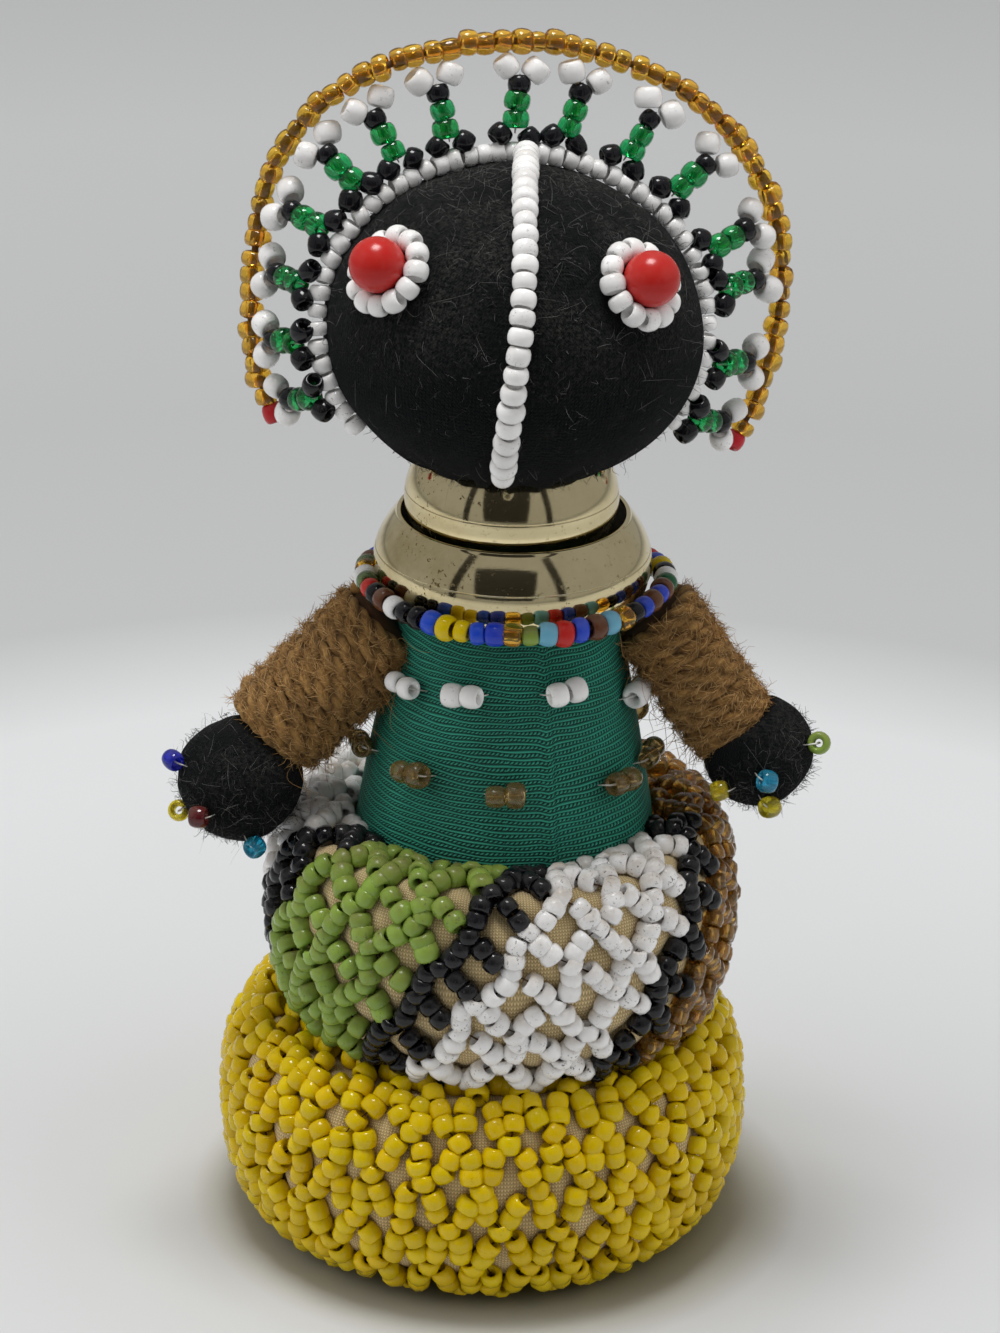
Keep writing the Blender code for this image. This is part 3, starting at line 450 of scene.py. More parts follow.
def thread_finish(name, dark, light, pitch, lean):
    """Wound thread: each turn shows one ply as a plain light line and the other as a row of
    slanting dashes, with painted shade between them, where the plies sink."""
    material, tree, shader = new_finish(name)
    twist = use_group(tree, plied, Pitch=pitch, Lean=lean)["Height"]
    hairs = use_group(tree, fibres, Size=900.0, Stretch=(1, 1, 2.5))
    patch = span(tree, cloud(tree, object_place(tree), 160.0), 0.3, 0.7, 0.82, 1.12)
    # Painted shade: the colour runs from dark between the plies to light on their tops, following
    # their height.
    colour = mix(tree, twist, (*dark, 1), (*light, 1))
    colour = mix(tree, 1.0, colour, patch, "MULTIPLY")
    dusty = use_group(tree, dust_and_top_light, Colour=colour, Dust=(*[0.6 * c + 0.06 for c in light], 1),
                      Amount=0.08, Size=300.0)
    put(tree, shader.inputs["Base Color"], dusty["Colour"])
    height = calc(tree, "MULTIPLY_ADD", hairs["Height"], 0.35, twist)
    bump = add_node(tree, "ShaderNodeBump", Strength=0.45, Distance=0.00010, Height=height)
    put(tree, shader.inputs["Normal"], bump.outputs[0])
    shader.inputs["Roughness"].default_value = 0.75
    shader.inputs["Sheen Weight"].default_value = 0.08
    shader.inputs["Sheen Roughness"].default_value = 0.4
    return material


def twine_finish(name, dark, light):
    """Jute: painted shade darkens the creases between the plies, which the tone attribute marks,
    and pale fibres are drawn out along the twine, whose length is the first number of its UV map."""
    material, tree, shader = new_finish(name)
    place = tree.nodes.new("ShaderNodeTexCoord").outputs["UV"]
    drawn = add_node(tree, "ShaderNodeMapping", Vector=place, Scale=(0.5, 2.6, 1.0))
    fibre = cloud(tree, drawn.outputs[0], 1.0, 5.0, 0.75)
    patch = span(tree, cloud(tree, object_place(tree), 200.0), 0.3, 0.7, 0.78, 1.2)
    ply = calc(tree, "MULTIPLY", bead_tone(tree), span(tree, fibre, 0.35, 0.65, 0.35, 1.0))
    # Painted shade: dark in the creases between the plies, where the tone is low.
    colour = mix(tree, 1.0, mix(tree, ply, (*dark, 1), (*light, 1)), patch, "MULTIPLY")
    put(tree, shader.inputs["Base Color"], colour)
    bump = add_node(tree, "ShaderNodeBump", Strength=1.0, Distance=0.00035, Height=fibre)
    put(tree, shader.inputs["Normal"], bump.outputs[0])
    shader.inputs["Roughness"].default_value = 0.85
    shader.inputs["Sheen Weight"].default_value = 0.05
    return material


def felt_finish(name, colour, lint):
    """Black felt: matted fibres over a faint knit, painted light that greys its upward faces in
    patches, and pale lint.
    """
    material, tree, shader = new_finish(name)
    hairs = use_group(tree, fibres, Size=1500.0, Stretch=(1, 1, 1))
    threads = use_group(tree, fibres, Size=520.0, Stretch=(1.0, 0.35, 1.0))
    weave = use_group(tree, knit, Wale=0.40, Course=0.44)
    base = mix(tree, hairs["Height"], tint(colour, 0.3), tint(colour, 1.5))
    base = mix(tree, calc(tree, "MULTIPLY", weave["Shade"], 0.5), base, tint(colour, 1.9))
    # Painted light: the dust group greys the felt's upward faces, standing for the light from
    # above.
    painted_top_light = use_group(tree, dust_and_top_light, Colour=base, Dust=(*lint, 1), Amount=1.0, Size=90.0)
    grain = span(tree, cloud(tree, object_place(tree), 2300.0, 4.0, 0.75), 0.44, 0.62)
    painted_top_light_share = calc(tree, "MULTIPLY", calc(tree, "MULTIPLY_ADD", painted_top_light["Mask"], 0.85, 0.02), grain)
    flecks_and_top_light = calc(tree, "MAXIMUM", calc(tree, "MULTIPLY", threads["Streak"], 0.12), painted_top_light_share)
    put(tree, shader.inputs["Base Color"], mix(tree, flecks_and_top_light, base, (*lint, 1)))
    height = calc(tree, "MULTIPLY_ADD", threads["Height"], 0.5, hairs["Height"])
    height = calc(tree, "MULTIPLY_ADD", weave["Height"], 0.5, height)
    bump = add_node(tree, "ShaderNodeBump", Strength=1.0, Distance=0.0003, Height=height)
    put(tree, shader.inputs["Normal"], bump.outputs[0])
    shader.inputs["Roughness"].default_value = 0.95
    shader.inputs["Sheen Weight"].default_value = 0.03
    shader.inputs["Sheen Roughness"].default_value = 0.5
    shader.inputs["Specular IOR Level"].default_value = 0.06
    return material


def plain_fibre(name, colour):
    """Single hairs, sewing thread and bead string."""
    material, tree, shader = new_finish(name)
    patch = span(tree, cloud(tree, object_place(tree), 500.0), 0.3, 0.7, 0.7, 1.25)
    put(tree, shader.inputs["Base Color"], mix(tree, 1.0, (*colour, 1), patch, "MULTIPLY"))
    shader.inputs["Roughness"].default_value = 0.8
    return material


# The first colour is the painted shade between the plies, the second the thread's own green.
GREEN_THREAD = thread_finish("green wound thread", (0.001, 0.026, 0.018), (0.034, 0.37, 0.25),
                             0.48, 1.9)
# The first colour is the painted shade in the creases, the second the jute's own colour.
JUTE = twine_finish("jute twine", (0.055, 0.023, 0.006), (0.47, 0.26, 0.075))
# The second colour is both the pale lint and the painted light on the felt's upward faces.
FELT = felt_finish("black felt", (0.0030, 0.0040, 0.0043), (0.095, 0.090, 0.082))
LINT = plain_fibre("pale lint", (0.24, 0.235, 0.225))
FUZZ = plain_fibre("black fuzz", (0.016, 0.016, 0.016))
JUTE_HAIR = plain_fibre("loose jute fibre", (0.36, 0.195, 0.062))
PALE_JUTE = plain_fibre("pale jute fibre", (0.60, 0.37, 0.15))
WHITE_THREAD = plain_fibre("white sewing thread", (0.75, 0.73, 0.68))
DARK_STRING = plain_fibre("dark bead string", (0.10, 0.045, 0.012))

JERSEY, tree, shader = new_finish("tan jersey cloth")
stitches = use_group(tree, knit, Wale=0.36, Course=0.34)
stain = span(tree, cloud(tree, object_place(tree), 120.0), 0.35, 0.7)
jersey_colour = mix(tree, stitches["Shade"], (0.42, 0.30, 0.13, 1), (0.96, 0.76, 0.42, 1))
jersey_colour = mix(tree, calc(tree, "MULTIPLY", stain, 0.3), jersey_colour,
                    (0.56, 0.41, 0.19, 1))
put(tree, shader.inputs["Base Color"], jersey_colour)
bump = add_node(tree, "ShaderNodeBump", Strength=0.7, Distance=0.0001,
                Height=stitches["Height"])
put(tree, shader.inputs["Normal"], bump.outputs[0])
shader.inputs["Roughness"].default_value = 0.9
shader.inputs["Sheen Weight"].default_value = 0.2

BRASS, tree, shader = new_finish("polished brass")
scratch_place = add_node(tree, "ShaderNodeMapping", Vector=object_place(tree),
                         Scale=(1.0, 1.0, 14.0))
scratches = cloud(tree, scratch_place.outputs[0], 420.0, 4.0, 0.7)
aside = add_node(tree, "ShaderNodeSeparateXYZ", Vector=object_place(tree))
handled = span(tree, aside.outputs["X"], -0.014, -0.002, 2.2, 0.7)
tarnish = use_group(tree, dirt_specks, Colour=(0.88, 0.76, 0.46, 1), Speck=(0.16, 0.085, 0.03, 1),
                    Amount=handled, Size=1900.0)
film_patches = span(tree, cloud(tree, object_place(tree), 160.0, 5.0, 0.7), 0.4, 0.65)
film = calc(tree, "MULTIPLY", film_patches, calc(tree, "MULTIPLY", handled, 0.4))
put(tree, shader.inputs["Base Color"], mix(tree, film, tarnish["Colour"],
                                           (0.60, 0.48, 0.24, 1)))
brass_rough = calc(tree, "MULTIPLY_ADD", tarnish["Mask"], 0.5, span(
    tree, scratches, 0.35, 0.7, 0.05, 0.12))
put(tree, shader.inputs["Roughness"], brass_rough)
bump = add_node(tree, "ShaderNodeBump", Strength=0.06, Distance=0.00005, Height=scratches)
put(tree, shader.inputs["Normal"], bump.outputs[0])
shader.inputs["Metallic"].default_value = 1.0

# Painted shade: the inner wall is near-black brown, the shade inside the ring laid over its
# tarnish.
DARK_BRASS, tree, shader = new_finish("tarnished brass inside with painted shade")
inside_film_and_shade = span(tree, cloud(tree, object_place(tree), 300.0), 0.35, 0.7)
put(tree, shader.inputs["Base Color"], mix(tree, inside_film_and_shade, (0.035, 0.025, 0.012, 1),
                                           (0.11, 0.08, 0.035, 1)))
shader.inputs["Metallic"].default_value = 0.6
shader.inputs["Roughness"].default_value = 0.55
print("finishes in all:", len(bpy.data.materials))


# %% [markdown]
# ## One bead, many times
# A bead is a small closed ring: a rounded profile carried round the hole. Its profile is a
# superellipse, between a doughnut and a short tube. One template is placed for every bead at
# once: numpy turns it so that its hole follows the string, scales it and moves it. Each bead
# gets its own size, tilt and tone, because machine-made regularity is what looks false.

# %% Bead shapes
def bead_form(sides, profile, squareness, hole=0.34):
    """A bead of half-length 1 and radius 1. Round the section, the distance from the middle of
    the glass is cos and the height is sin, each raised to the squareness power."""
    turn = TURN * np.arange(profile) / profile
    radius = (1 + hole) / 2 + (1 - hole) / 2 * signed_power(np.cos(turn), squareness)
    height = signed_power(np.sin(turn), squareness)
    around = TURN * np.arange(sides) / sides
    points = np.stack([radius[:, None] * np.cos(around), radius[:, None] * np.sin(around),
                       height[:, None] + 0 * around], -1)
    return points.reshape(-1, 3), grid_faces(profile, sides, True)


NET_BEAD = bead_form(10, 8, 0.88)
FINE_BEAD = bead_form(18, 12, 1.0)


def scatter(count, spread):
    """Small random numbers round zero, held within two spreads."""
    return np.clip(draw.normal(0, spread, count), -2 * spread, 2 * spread)


def bead_points(centres, ways, wide, long, form, tilt=0.12):
    """The template's points for each bead: its own axes times its half sizes, plus its centre.
    tilt is how far, in radians, the hole may stray from the string."""
    count = len(centres)
    ways = unit(unit(ways) + scatter((count, 3), tilt))
    helper = np.where(np.abs(ways[:, 2:]) < 0.8, [[0.0, 0.0, 1.0]], [[1.0, 0.0, 0.0]])
    first = unit(np.cross(helper, ways))
    second = np.cross(ways, first)
    spin = draw.uniform(0, TURN, count)[:, None]
    one = np.cos(spin) * first + np.sin(spin) * second
    two = np.cross(ways, one)
    axes = np.stack([one * wide[:, None] / 2, two * wide[:, None] / 2,
                     ways * long[:, None] / 2], 1)
    return centres[:, None] + np.einsum("vk,nkx->nvx", form[0], axes)


def string_piece(name, centres, ways, wide, long, finishes, slot, stands_for=(), form=FINE_BEAD,
                 pick=None, uneven=0.05, tilt=0.12):
    """One object with all the beads of a string. pick gives each bead's finish."""
    count = len(centres)
    wide = np.broadcast_to(wide, count) * (1 + scatter(count, uneven))
    long = np.broadcast_to(long, count) * (1 + scatter(count, uneven))
    points = bead_points(centres, ways, wide, long, form, tilt)
    faces = copies(form[1], len(form[0]), count)
    tone = np.repeat(draw.uniform(0, 1, count), len(form[0]))
    chosen = None if pick is None else np.repeat(np.asarray(pick), len(form[1]))
    return make_piece(name, points.reshape(-1, 3), [faces], finishes, stands_for,
                      tone=tone, pick=chosen)


def sweep(path, outward, profile, closed=False):
    """A profile carried along a path. A profile point (a, b) sits a along outward and b along
    the side, which is square to the path and to outward. Open ends get a fan of triangles."""
    ahead = (np.roll(path, -1, 0) - np.roll(path, 1, 0)) if closed else np.gradient(path, axis=0)
    side = unit(np.cross(ahead, outward))
    outward = unit(np.cross(side, ahead))
    profile = np.broadcast_to(profile, (len(path),) + np.shape(profile)[-2:])
    points = (path[:, None] + profile[..., :1] * outward[:, None]
              + profile[..., 1:] * side[:, None])
    rows, columns = points.shape[:2]
    quads = grid_faces(rows, columns, closed)
    if closed:
        return points.reshape(-1, 3), [quads]
    ends = np.stack([points[0].mean(0), points[-1].mean(0)])
    return np.concatenate([points.reshape(-1, 3), ends]), [quads, cap_faces(rows, columns)]


def circle(radius, sides):
    """A round profile."""
    turn = TURN * np.arange(sides) / sides
    return radius * np.stack([np.cos(turn), np.sin(turn)], -1)


def hairs_piece(name, paths, thick, finish):
    """Thin three-sided tubes along many paths at once, drawn out to a point at both ends."""
    count, steps = paths.shape[:2]
    ahead = unit(np.gradient(paths, axis=1))
    helper = unit(draw.normal(size=(count, 1, 3)))
    first = unit(np.cross(ahead, helper))
    second = np.cross(ahead, first)
    share = np.linspace(0, 1, steps)
    width = thick * (0.35 + 0.65 * np.sin(share * math.pi))[None, :, None, None]
    turn = TURN * np.arange(3) / 3
    ring = (first[:, :, None] * np.cos(turn)[:, None] + second[:, :, None] * np.sin(turn)[:, None])
    points = paths[:, :, None] + ring * width
    quads = copies(grid_faces(steps, 3), steps * 3, count)
    ends = copies(np.array([[2, 1, 0], [steps * 3 - 3, steps * 3 - 2, steps * 3 - 1]]),
                  steps * 3, count)
    return make_piece(name, points.reshape(-1, 3), [quads, ends], [finish])


def curly(starts, ways, lengths, curl, steps=7, drop=0.0):
    """Paths of loose hairs: each runs its way, bends by a random sideways curl that grows with
    the square of the distance, and sinks by drop."""
    share = np.linspace(0, 1, steps)[None, :, None]
    reach = lengths[:, None, None]
    bend = draw.normal(size=(len(starts), 1, 3)) * curl * reach
    second = draw.normal(size=(len(starts), 1, 3)) * curl * reach * 0.5
    wave = np.sin(share * draw.uniform(2, 6, (len(starts), 1, 1)))
    fall = np.array([0, 0, -drop]) * reach * share ** 2
    straight = starts[:, None] + ways[:, None] * reach * share
    return straight + bend * share ** 2 + second * wave + fall


# %% [markdown]
# ## Skirt rings
# Each skirt ring is a stuffed tube of knitted cloth in a net of beads. Its section is a rounded
# square, a superellipse. The net is a lattice: level and column number the knots, and every
# other level is shifted by half a column, so strands run along both diagonals. The same lattice
# tells the cloth where it is pinched and where it bulges out through the openings. A cloth
# simulation would find a similar bulge, but only the lattice keeps it in step with the beads.

# %% Ring sections and lattices
LOWER = {"name": "lower", "x": -2.0, "mid": 22.5, "wide": 6.1, "z": 13.7, "up": 11.4,
         "down": 11.4, "columns": 31, "levels": 5, "low": -70.0, "high": 80.0,
         "slant": 0.0, "bow": 0.45}
UPPER = {"name": "upper", "x": -0.3, "mid": 20.5, "wide": 4.7, "z": 39.6, "up": 10.4,
         "down": 12.5, "columns": 22, "levels": 7, "low": -68.0, "high": 100.0,
         "slant": 0.12, "bow": 0.37}
FULLNESS = 2.3
FRONT_SHIFT = math.radians(6.0)
UNSLANTED_LEVEL = 2.1


def section(ring, angle, offset):
    """(radius, height) of a ring's section: centre + half size * cos or sin to the power 2/2.3,
    with its sign kept, where offset is added to both half sizes."""
    out = signed_power(np.cos(angle), 2 / FULLNESS)
    rise = signed_power(np.sin(angle), 2 / FULLNESS)
    half = np.where(rise > 0, ring["up"], ring["down"]) + offset
    return ring["mid"] + (ring["wide"] + offset) * out, ring["z"] + half * rise


def level_angle(ring, level):
    """Section angle of a net level, by even steps of length along the outline."""
    angles = np.radians(np.linspace(ring["low"], ring["high"] + 30, 600))
    radius, height = section(ring, angles, 0.8)
    length = np.concatenate([[0], np.cumsum(np.hypot(np.diff(radius), np.diff(height)))])
    top = np.interp(math.radians(ring["high"]), angles, length)
    return np.interp(np.asarray(level) * top / ring["levels"], length, angles)


def stray(column, level):
    """How many columns a strand strays from its place: two small waves over the lattice."""
    return 0.10 * np.sin(column * 1.7 + level * 2.1) + 0.06 * np.sin(column * 0.9 - level * 3.3)


def ring_place(ring, column, level, offset):
    """A point of a ring from its lattice numbers. Columns count from the front to the right, and
    a slanted net turns by slant columns with each level."""
    lift = 0.08 * np.sin(column * 2.3 + level * 1.3)
    warp = stray(column, level) + ring["slant"] * (UNSLANTED_LEVEL - level)
    turn = (column + warp) * TURN / ring["columns"] + FRONT_SHIFT
    radius, height = section(ring, level_angle(ring, level + lift), offset)
    return np.stack([ring["x"] + radius * np.sin(turn), -radius * np.cos(turn), height], -1)


def cloth_ring(ring, rows=132, columns=420):
    """The stuffed tube: the section carried round, pushed out by the lattice. With u and v the
    two diagonal numbers, |sin(pi u)| |sin(pi v)| is 0 on the strands and 1 in each opening."""
    angle = TURN * np.arange(rows)[:, None] / rows - math.pi
    turn = TURN * np.arange(columns)[None, :] / columns
    levels = np.linspace(0, ring["levels"], 300)
    level = np.interp(angle, level_angle(ring, levels), levels, left=-0.5,
                      right=ring["levels"] + 0.5)
    column = (turn - FRONT_SHIFT) * ring["columns"] / TURN
    column = column - stray(column, level) - ring["slant"] * (UNSLANTED_LEVEL - level)
    opening = np.abs(np.sin(math.pi * (column + level / 2))
                     * np.sin(math.pi * (column - level / 2)))
    netted = (angle > math.radians(ring["low"])) & (angle < math.radians(ring["high"]))
    bulge = np.where(netted, 0.95 * opening ** 0.7 - 0.55, -0.3)
    radius, height = section(ring, angle + 0 * turn, bulge)
    points = np.stack([ring["x"] + radius * np.sin(turn), -radius * np.cos(turn), height], -1)
    points += ripple(points, 9.0, 0.22, 3)[..., None] * unit(points * [1, 1, 0.2])
    points[..., 2] = np.maximum(points[..., 2], 0.02)
    around = TURN * (ring["mid"] + ring["wide"])
    girth = 2 * math.pi * math.sqrt((ring["wide"] ** 2 + ring["up"] ** 2) / 2)
    uv = grid_uv(rows, columns, around, girth, True)
    item = make_piece(ring["name"] + "_cushion_cloth", points.reshape(-1, 3),
                      [grid_faces(rows, columns, True)], [JERSEY],
                      [ring["name"] + "_cushion"], uv)
    return item


cloth_ring(LOWER)
cloth_ring(UPPER)


# %% [markdown]
# ## Bead nets
# From knot to knot there are two beads, and one bead sits on each knot. Along the top of each
# net lies a row of paired beads. On the upper ring the colour changes with one of the diagonal
# numbers, so the fields lean the way the netting thread ran: black strands part the lime,
# white and amber fields.

# %% Nets
def bowed(ring, share):
    """How far aside a strand has gone at a share of its way from knot to knot. It leaves the knot
    slanting and then runs more upright, because the beads below a knot push each other apart."""
    return np.interp(share, (0.0, 0.33, 0.67, 1.0), (0.0, ring["bow"], 1 - ring["bow"], 1.0))


def net_beads(ring, lift):
    """Centres, string directions and diagonal numbers of all the beads of a net."""
    columns, levels = ring["columns"], ring["levels"]
    column, level = np.meshgrid(np.arange(columns), np.arange(levels + 1))
    column = (column + 0.5 * (level % 2)).ravel()
    level = level.ravel().astype(float)
    knots = ring_place(ring, column, level, lift)
    beside = (ring_place(ring, column + 0.1, level, lift)
              - ring_place(ring, column - 0.1, level, lift))
    upright = (ring_place(ring, column, level + 0.1, lift)
               - ring_place(ring, column, level - 0.1, lift))
    up_or_down = np.where(draw.uniform(size=(len(knots), 1)) < 0.5, 1.0, -1.0)
    centres = [knots]
    ways = [unit(beside) * 0.25 + unit(upright) * up_or_down]
    numbers = [column - level / 2]
    inner = level < levels
    for step in (0.5, -0.5):
        for share in (0.335, 0.665):
            here = ring_place(ring, column[inner] + step * bowed(ring, share),
                              level[inner] + share, lift)
            after = ring_place(ring, column[inner] + step * (bowed(ring, share) + 0.07),
                               level[inner] + share + 0.1, lift)
            centres.append(here)
            ways.append(after - here)
            numbers.append(column[inner] - level[inner] / 2 - (0.5 if step < 0 else 0.0))
    edge = np.arange(columns) + 0.5 * (levels % 2) + 0.5
    for shift in (-0.16, 0.16):
        here = ring_place(ring, edge + shift, np.full(columns, levels + 0.42), lift)
        after = ring_place(ring, edge + shift + 0.05, np.full(columns, levels + 0.42), lift)
        centres.append(here)
        ways.append(after - here)
        numbers.append(edge - 0.5 - levels / 2)
    return np.concatenate(centres), np.concatenate(ways), np.concatenate(numbers)


def net_thread(ring, lift):
    """The string that shows between the beads: a thin tube along every strand."""
    columns, levels = ring["columns"], ring["levels"]
    column, level = np.meshgrid(np.arange(columns), np.arange(levels))
    column = (column + 0.5 * (level % 2)).ravel()
    level = level.ravel().astype(float)
    share = np.linspace(0, 1, 7)[None, :]
    paths = [ring_place(ring, column[:, None] + step * bowed(ring, share),
                        level[:, None] + share, lift) for step in (0.5, -0.5)]
    return hairs_piece(ring["name"] + "_net_thread", np.concatenate(paths), 0.16, DARK_STRING)


BEAD_LIFT = 0.85
THREAD_LIFT = 0.7
centres, ways, _ = net_beads(LOWER, BEAD_LIFT)
centres += scatter(centres.shape, 0.06)
string_piece("lower_net_beads", centres, ways, 2.74, 2.12, [YELLOW_BEAD], "yellow_bead",
             ["lower_bead_net"], NET_BEAD, uneven=0.06, tilt=0.13)
net_thread(LOWER, THREAD_LIFT)

centres, ways, numbers = net_beads(UPPER, BEAD_LIFT)
centres += scatter(centres.shape, 0.06)
strand = np.mod(np.round(numbers * 2 + UPPER["levels"] - 1).astype(int), 2 * UPPER["columns"]) / 2
strand = np.where(strand > 10.75, strand - UPPER["columns"], strand)
FIELDS = (("white", NET_WHITE, (strand < -4) | ((strand >= 1) & (strand < 4))),
          ("black", NET_BLACK, ((strand >= -4) & (strand < -3)) | ((strand >= 0) & (strand < 1))
           | ((strand >= 4) & (strand < 5)) | (strand >= 10)),
          ("lime", LIME_BEAD, (strand >= -3) & (strand < 0)),
          ("amber", BROWN_GLASS, (strand >= 5) & (strand < 10)))
for colour, finish, chosen in FIELDS:
    string_piece(f"upper_net_{colour}_beads", centres[chosen], ways[chosen], 2.72,
                 1.95, [finish], "mixed_bead", ["upper_bead_net"], NET_BEAD, uneven=0.06,
                 tilt=0.13)
net_thread(UPPER, THREAD_LIFT)


# %% [markdown]
# ## Body cone
# The body is wound with green thread, row upon row. The rows are real ridges here, three
# quarters of a millimetre for each turn of two plies and never quite even, and the slant of the
# twist comes from its finish.

# %% Body cone
RIB = 0.74
RIB_ROWS = 8
CONE_STOPS = ((43.0, 13.0), (48.9, 17.1), (63.45, 14.4), (78.0, 11.5))
WOUND_FROM, WOUND_TO = 44.0, 77.9
STEM_STOPS = ((0.02, 13.0), (43.0, 13.0))
CONE_MIDDLE_RADIUS = 15.0


def cone_radius(height):
    """Straight lines between the cone's measured radii."""
    heights, radii = np.array(CONE_STOPS).T
    return np.interp(height, heights, radii)


def body_cone(columns=200):
    """A radius for each height, plus |sin| to the power 0.8 of the winding number, which gives
    two plies for each turn of thread. The winding drifts a little round the cone. The UV map
    holds the length round the cone and the winding number, which the finish reads."""
    rows = int((WOUND_TO - WOUND_FROM) / RIB * RIB_ROWS)
    height = np.linspace(WOUND_FROM, WOUND_TO, rows)[:, None]
    turn = TURN * np.arange(columns + 1)[None, :] / columns
    drift = (0.22 * np.sin(2 * turn + height * 0.35) + 0.16 * np.sin(5 * turn - height * 0.8)
             + 0.07 * np.sin(17 * turn + height * 1.9))
    seam = 0.45 * np.exp(-((np.mod(turn - 0.32 + math.pi, TURN) - math.pi) / 0.05) ** 2)
    phase = (height - WOUND_FROM) / RIB + turn / TURN + drift + seam
    ridge = np.abs(np.sin(phase * TURN)) ** 0.8
    radius = cone_radius(height) - 0.30 + 0.34 * ridge
    points = np.stack([radius * np.sin(turn), -radius * np.cos(turn), height + 0 * turn], -1)
    points += ripple(points, 14.0, 0.12, 5)[..., None] * unit(points * [1, 1, 0])
    stem = np.array([np.stack([r * np.sin(turn[0]), -r * np.cos(turn[0]), 0 * turn[0] + z], -1)
                     for z, r in STEM_STOPS])
    points = np.concatenate([stem, points])[:, :columns]
    thread_place = np.stack([CONE_MIDDLE_RADIUS * turn + 0 * phase, phase], -1)
    thread_place = np.concatenate([thread_place[:2], thread_place])
    rows = len(points)
    row = np.arange(rows - 1)[:, None, None] + np.array([0, 0, 1, 1])
    column = np.arange(columns)[None, :, None] + np.array([0, 1, 1, 0])
    uv = thread_place[row, column].reshape(-1, 2)
    ends = np.array([[0, 0, STEM_STOPS[0][0]], [0, 0, WOUND_TO]])
    points = np.concatenate([points.reshape(-1, 3), ends])
    return make_piece("body_cone", points, [grid_faces(rows, columns), cap_faces(rows, columns)],
                      [GREEN_THREAD], ["torso"], uv)


body_cone()

# %% [markdown]
# ## Sewn bead pairs
# Two rows of bead pairs are sewn on the cone, white above and dusty amber below. The thread's
# end shows as a short stub on each side of a pair.

# %% Bead pairs
WHITE_PLACES = np.array([(-52.0, 68.7), (-20.0, 69.6), (26.5, 70.0), (74.0, 66.5), (120.0, 68.0),
                         (168.0, 69.0), (-124.0, 69.0)])
AMBER_PLACES = np.array([(-79.0, 58.8), (-40.0, 59.6), (0.0, 59.0), (51.0, 58.2), (77.0, 58.6),
                         (122.0, 59.0), (168.0, 59.5), (-122.0, 59.0)])


def sewn_pairs(label, places, finish, slot, wide, long):
    """Two beads side by side at each place, on the level, and a stub of thread past them."""
    for number, (degrees, height) in enumerate(places, 1):
        turn = math.radians(degrees)
        out = np.array([math.sin(turn), -math.cos(turn), 0.18])
        across = np.array([math.cos(turn), math.sin(turn), draw.uniform(-0.12, 0.12)])
        middle = np.array([math.sin(turn) * cone_radius(height), -math.cos(turn)
                           * cone_radius(height), height]) + unit(out) * (wide / 2 + 0.1)
        centres = middle + across * np.array([[-0.52], [0.52]]) * long
        name = f"{label}_bead_pair_{number}"
        string_piece(name + "_beads", centres, np.stack([across, across]), wide, long, [finish],
                     slot, [name], uneven=0.08)
        share = np.linspace(-1, 1, 9)[:, None]
        path = (middle + across * share * (long + 0.3)
                - unit(out) * (wide / 2 + 0.4) * np.abs(share) ** 5)
        hairs_piece(name + "_thread", path[None], 0.2, WHITE_THREAD)


sewn_pairs("white", WHITE_PLACES, WHITE_BEAD, "white_bead", 2.75, 2.15)
sewn_pairs("amber", AMBER_PLACES, DUSTY_GLASS, "amber_glass", 2.7, 2.1)

# %% [markdown]
# ## Brass neck rings
# Two bands of polished brass, hollow half rounds, the upper one set in the rim of the lower. A
# turned outline, round outside and even in wall, is spun, with a fine engraved line near the
# middle of its height. The rim edges are rolled round, which gives them their bright line.

# %% Brass rings
def brass_ring(name, aside, foot, widest, rim, radius, drop, line, columns=160):
    """Above its widest height the outline draws in by drop * s^1.9, with s from 0 to 1 at the
    rim. Below, it draws in by 0.9 s^2, with s from 0 to 1 at the foot. A narrow groove is cut at
    the line's height."""
    wall = 0.6
    by_line = line + np.linspace(-0.3, 0.3, 25)
    height = np.sort(np.concatenate([np.linspace(foot, rim, 60), by_line]))
    above = np.clip((height - widest) / (rim - widest), 0, 1)
    below = np.clip((widest - height) / (widest - foot), 0, 1)
    outer = radius - drop * above ** 1.9 - 0.9 * below ** 2
    inner = outer - wall
    outer = outer - 0.05 * np.exp(-((height - line) / 0.06) ** 2)
    lip = np.linspace(0, math.pi, 9)[1:-1]
    far = np.concatenate([outer, inner[-1] + wall / 2 + wall / 2 * np.cos(lip), inner[::-1],
                          outer[0] - wall / 2 - wall / 2 * np.cos(lip)])
    level = np.concatenate([height, rim + wall / 2 * np.sin(lip), height[::-1],
                            foot - wall / 2 * np.sin(lip) * 0.6])
    turn = TURN * np.arange(columns) / columns
    points = np.stack([aside + far[:, None] * np.sin(turn), -far[:, None] * np.cos(turn),
                       level[:, None] + 0 * turn], -1)
    # The inner wall takes the second finish, painted shade over tarnish.
    inside = np.abs(np.arange(len(far)) - 1.5 * len(height) - 4) < 0.5 * len(height)
    return make_piece(name + "_turned", points.reshape(-1, 3),
                      [grid_faces(len(far), columns, True)], [BRASS, DARK_BRASS],
                      [name], pick=np.repeat(inside, columns))


BRASS_RINGS = {
    "lower_brass_ring": {"aside": 0.25, "foot": 77.2, "widest": 80.8, "rim": 86.2,
                         "radius": 15.5, "drop": 2.5, "line": 82.3},
    "upper_brass_ring": {"aside": 0.0, "foot": 84.6, "widest": 88.2, "rim": 94.2,
                         "radius": 11.9, "drop": 2.4, "line": 89.2}}
for name, sizes in BRASS_RINGS.items():
    brass_ring(name, **sizes)
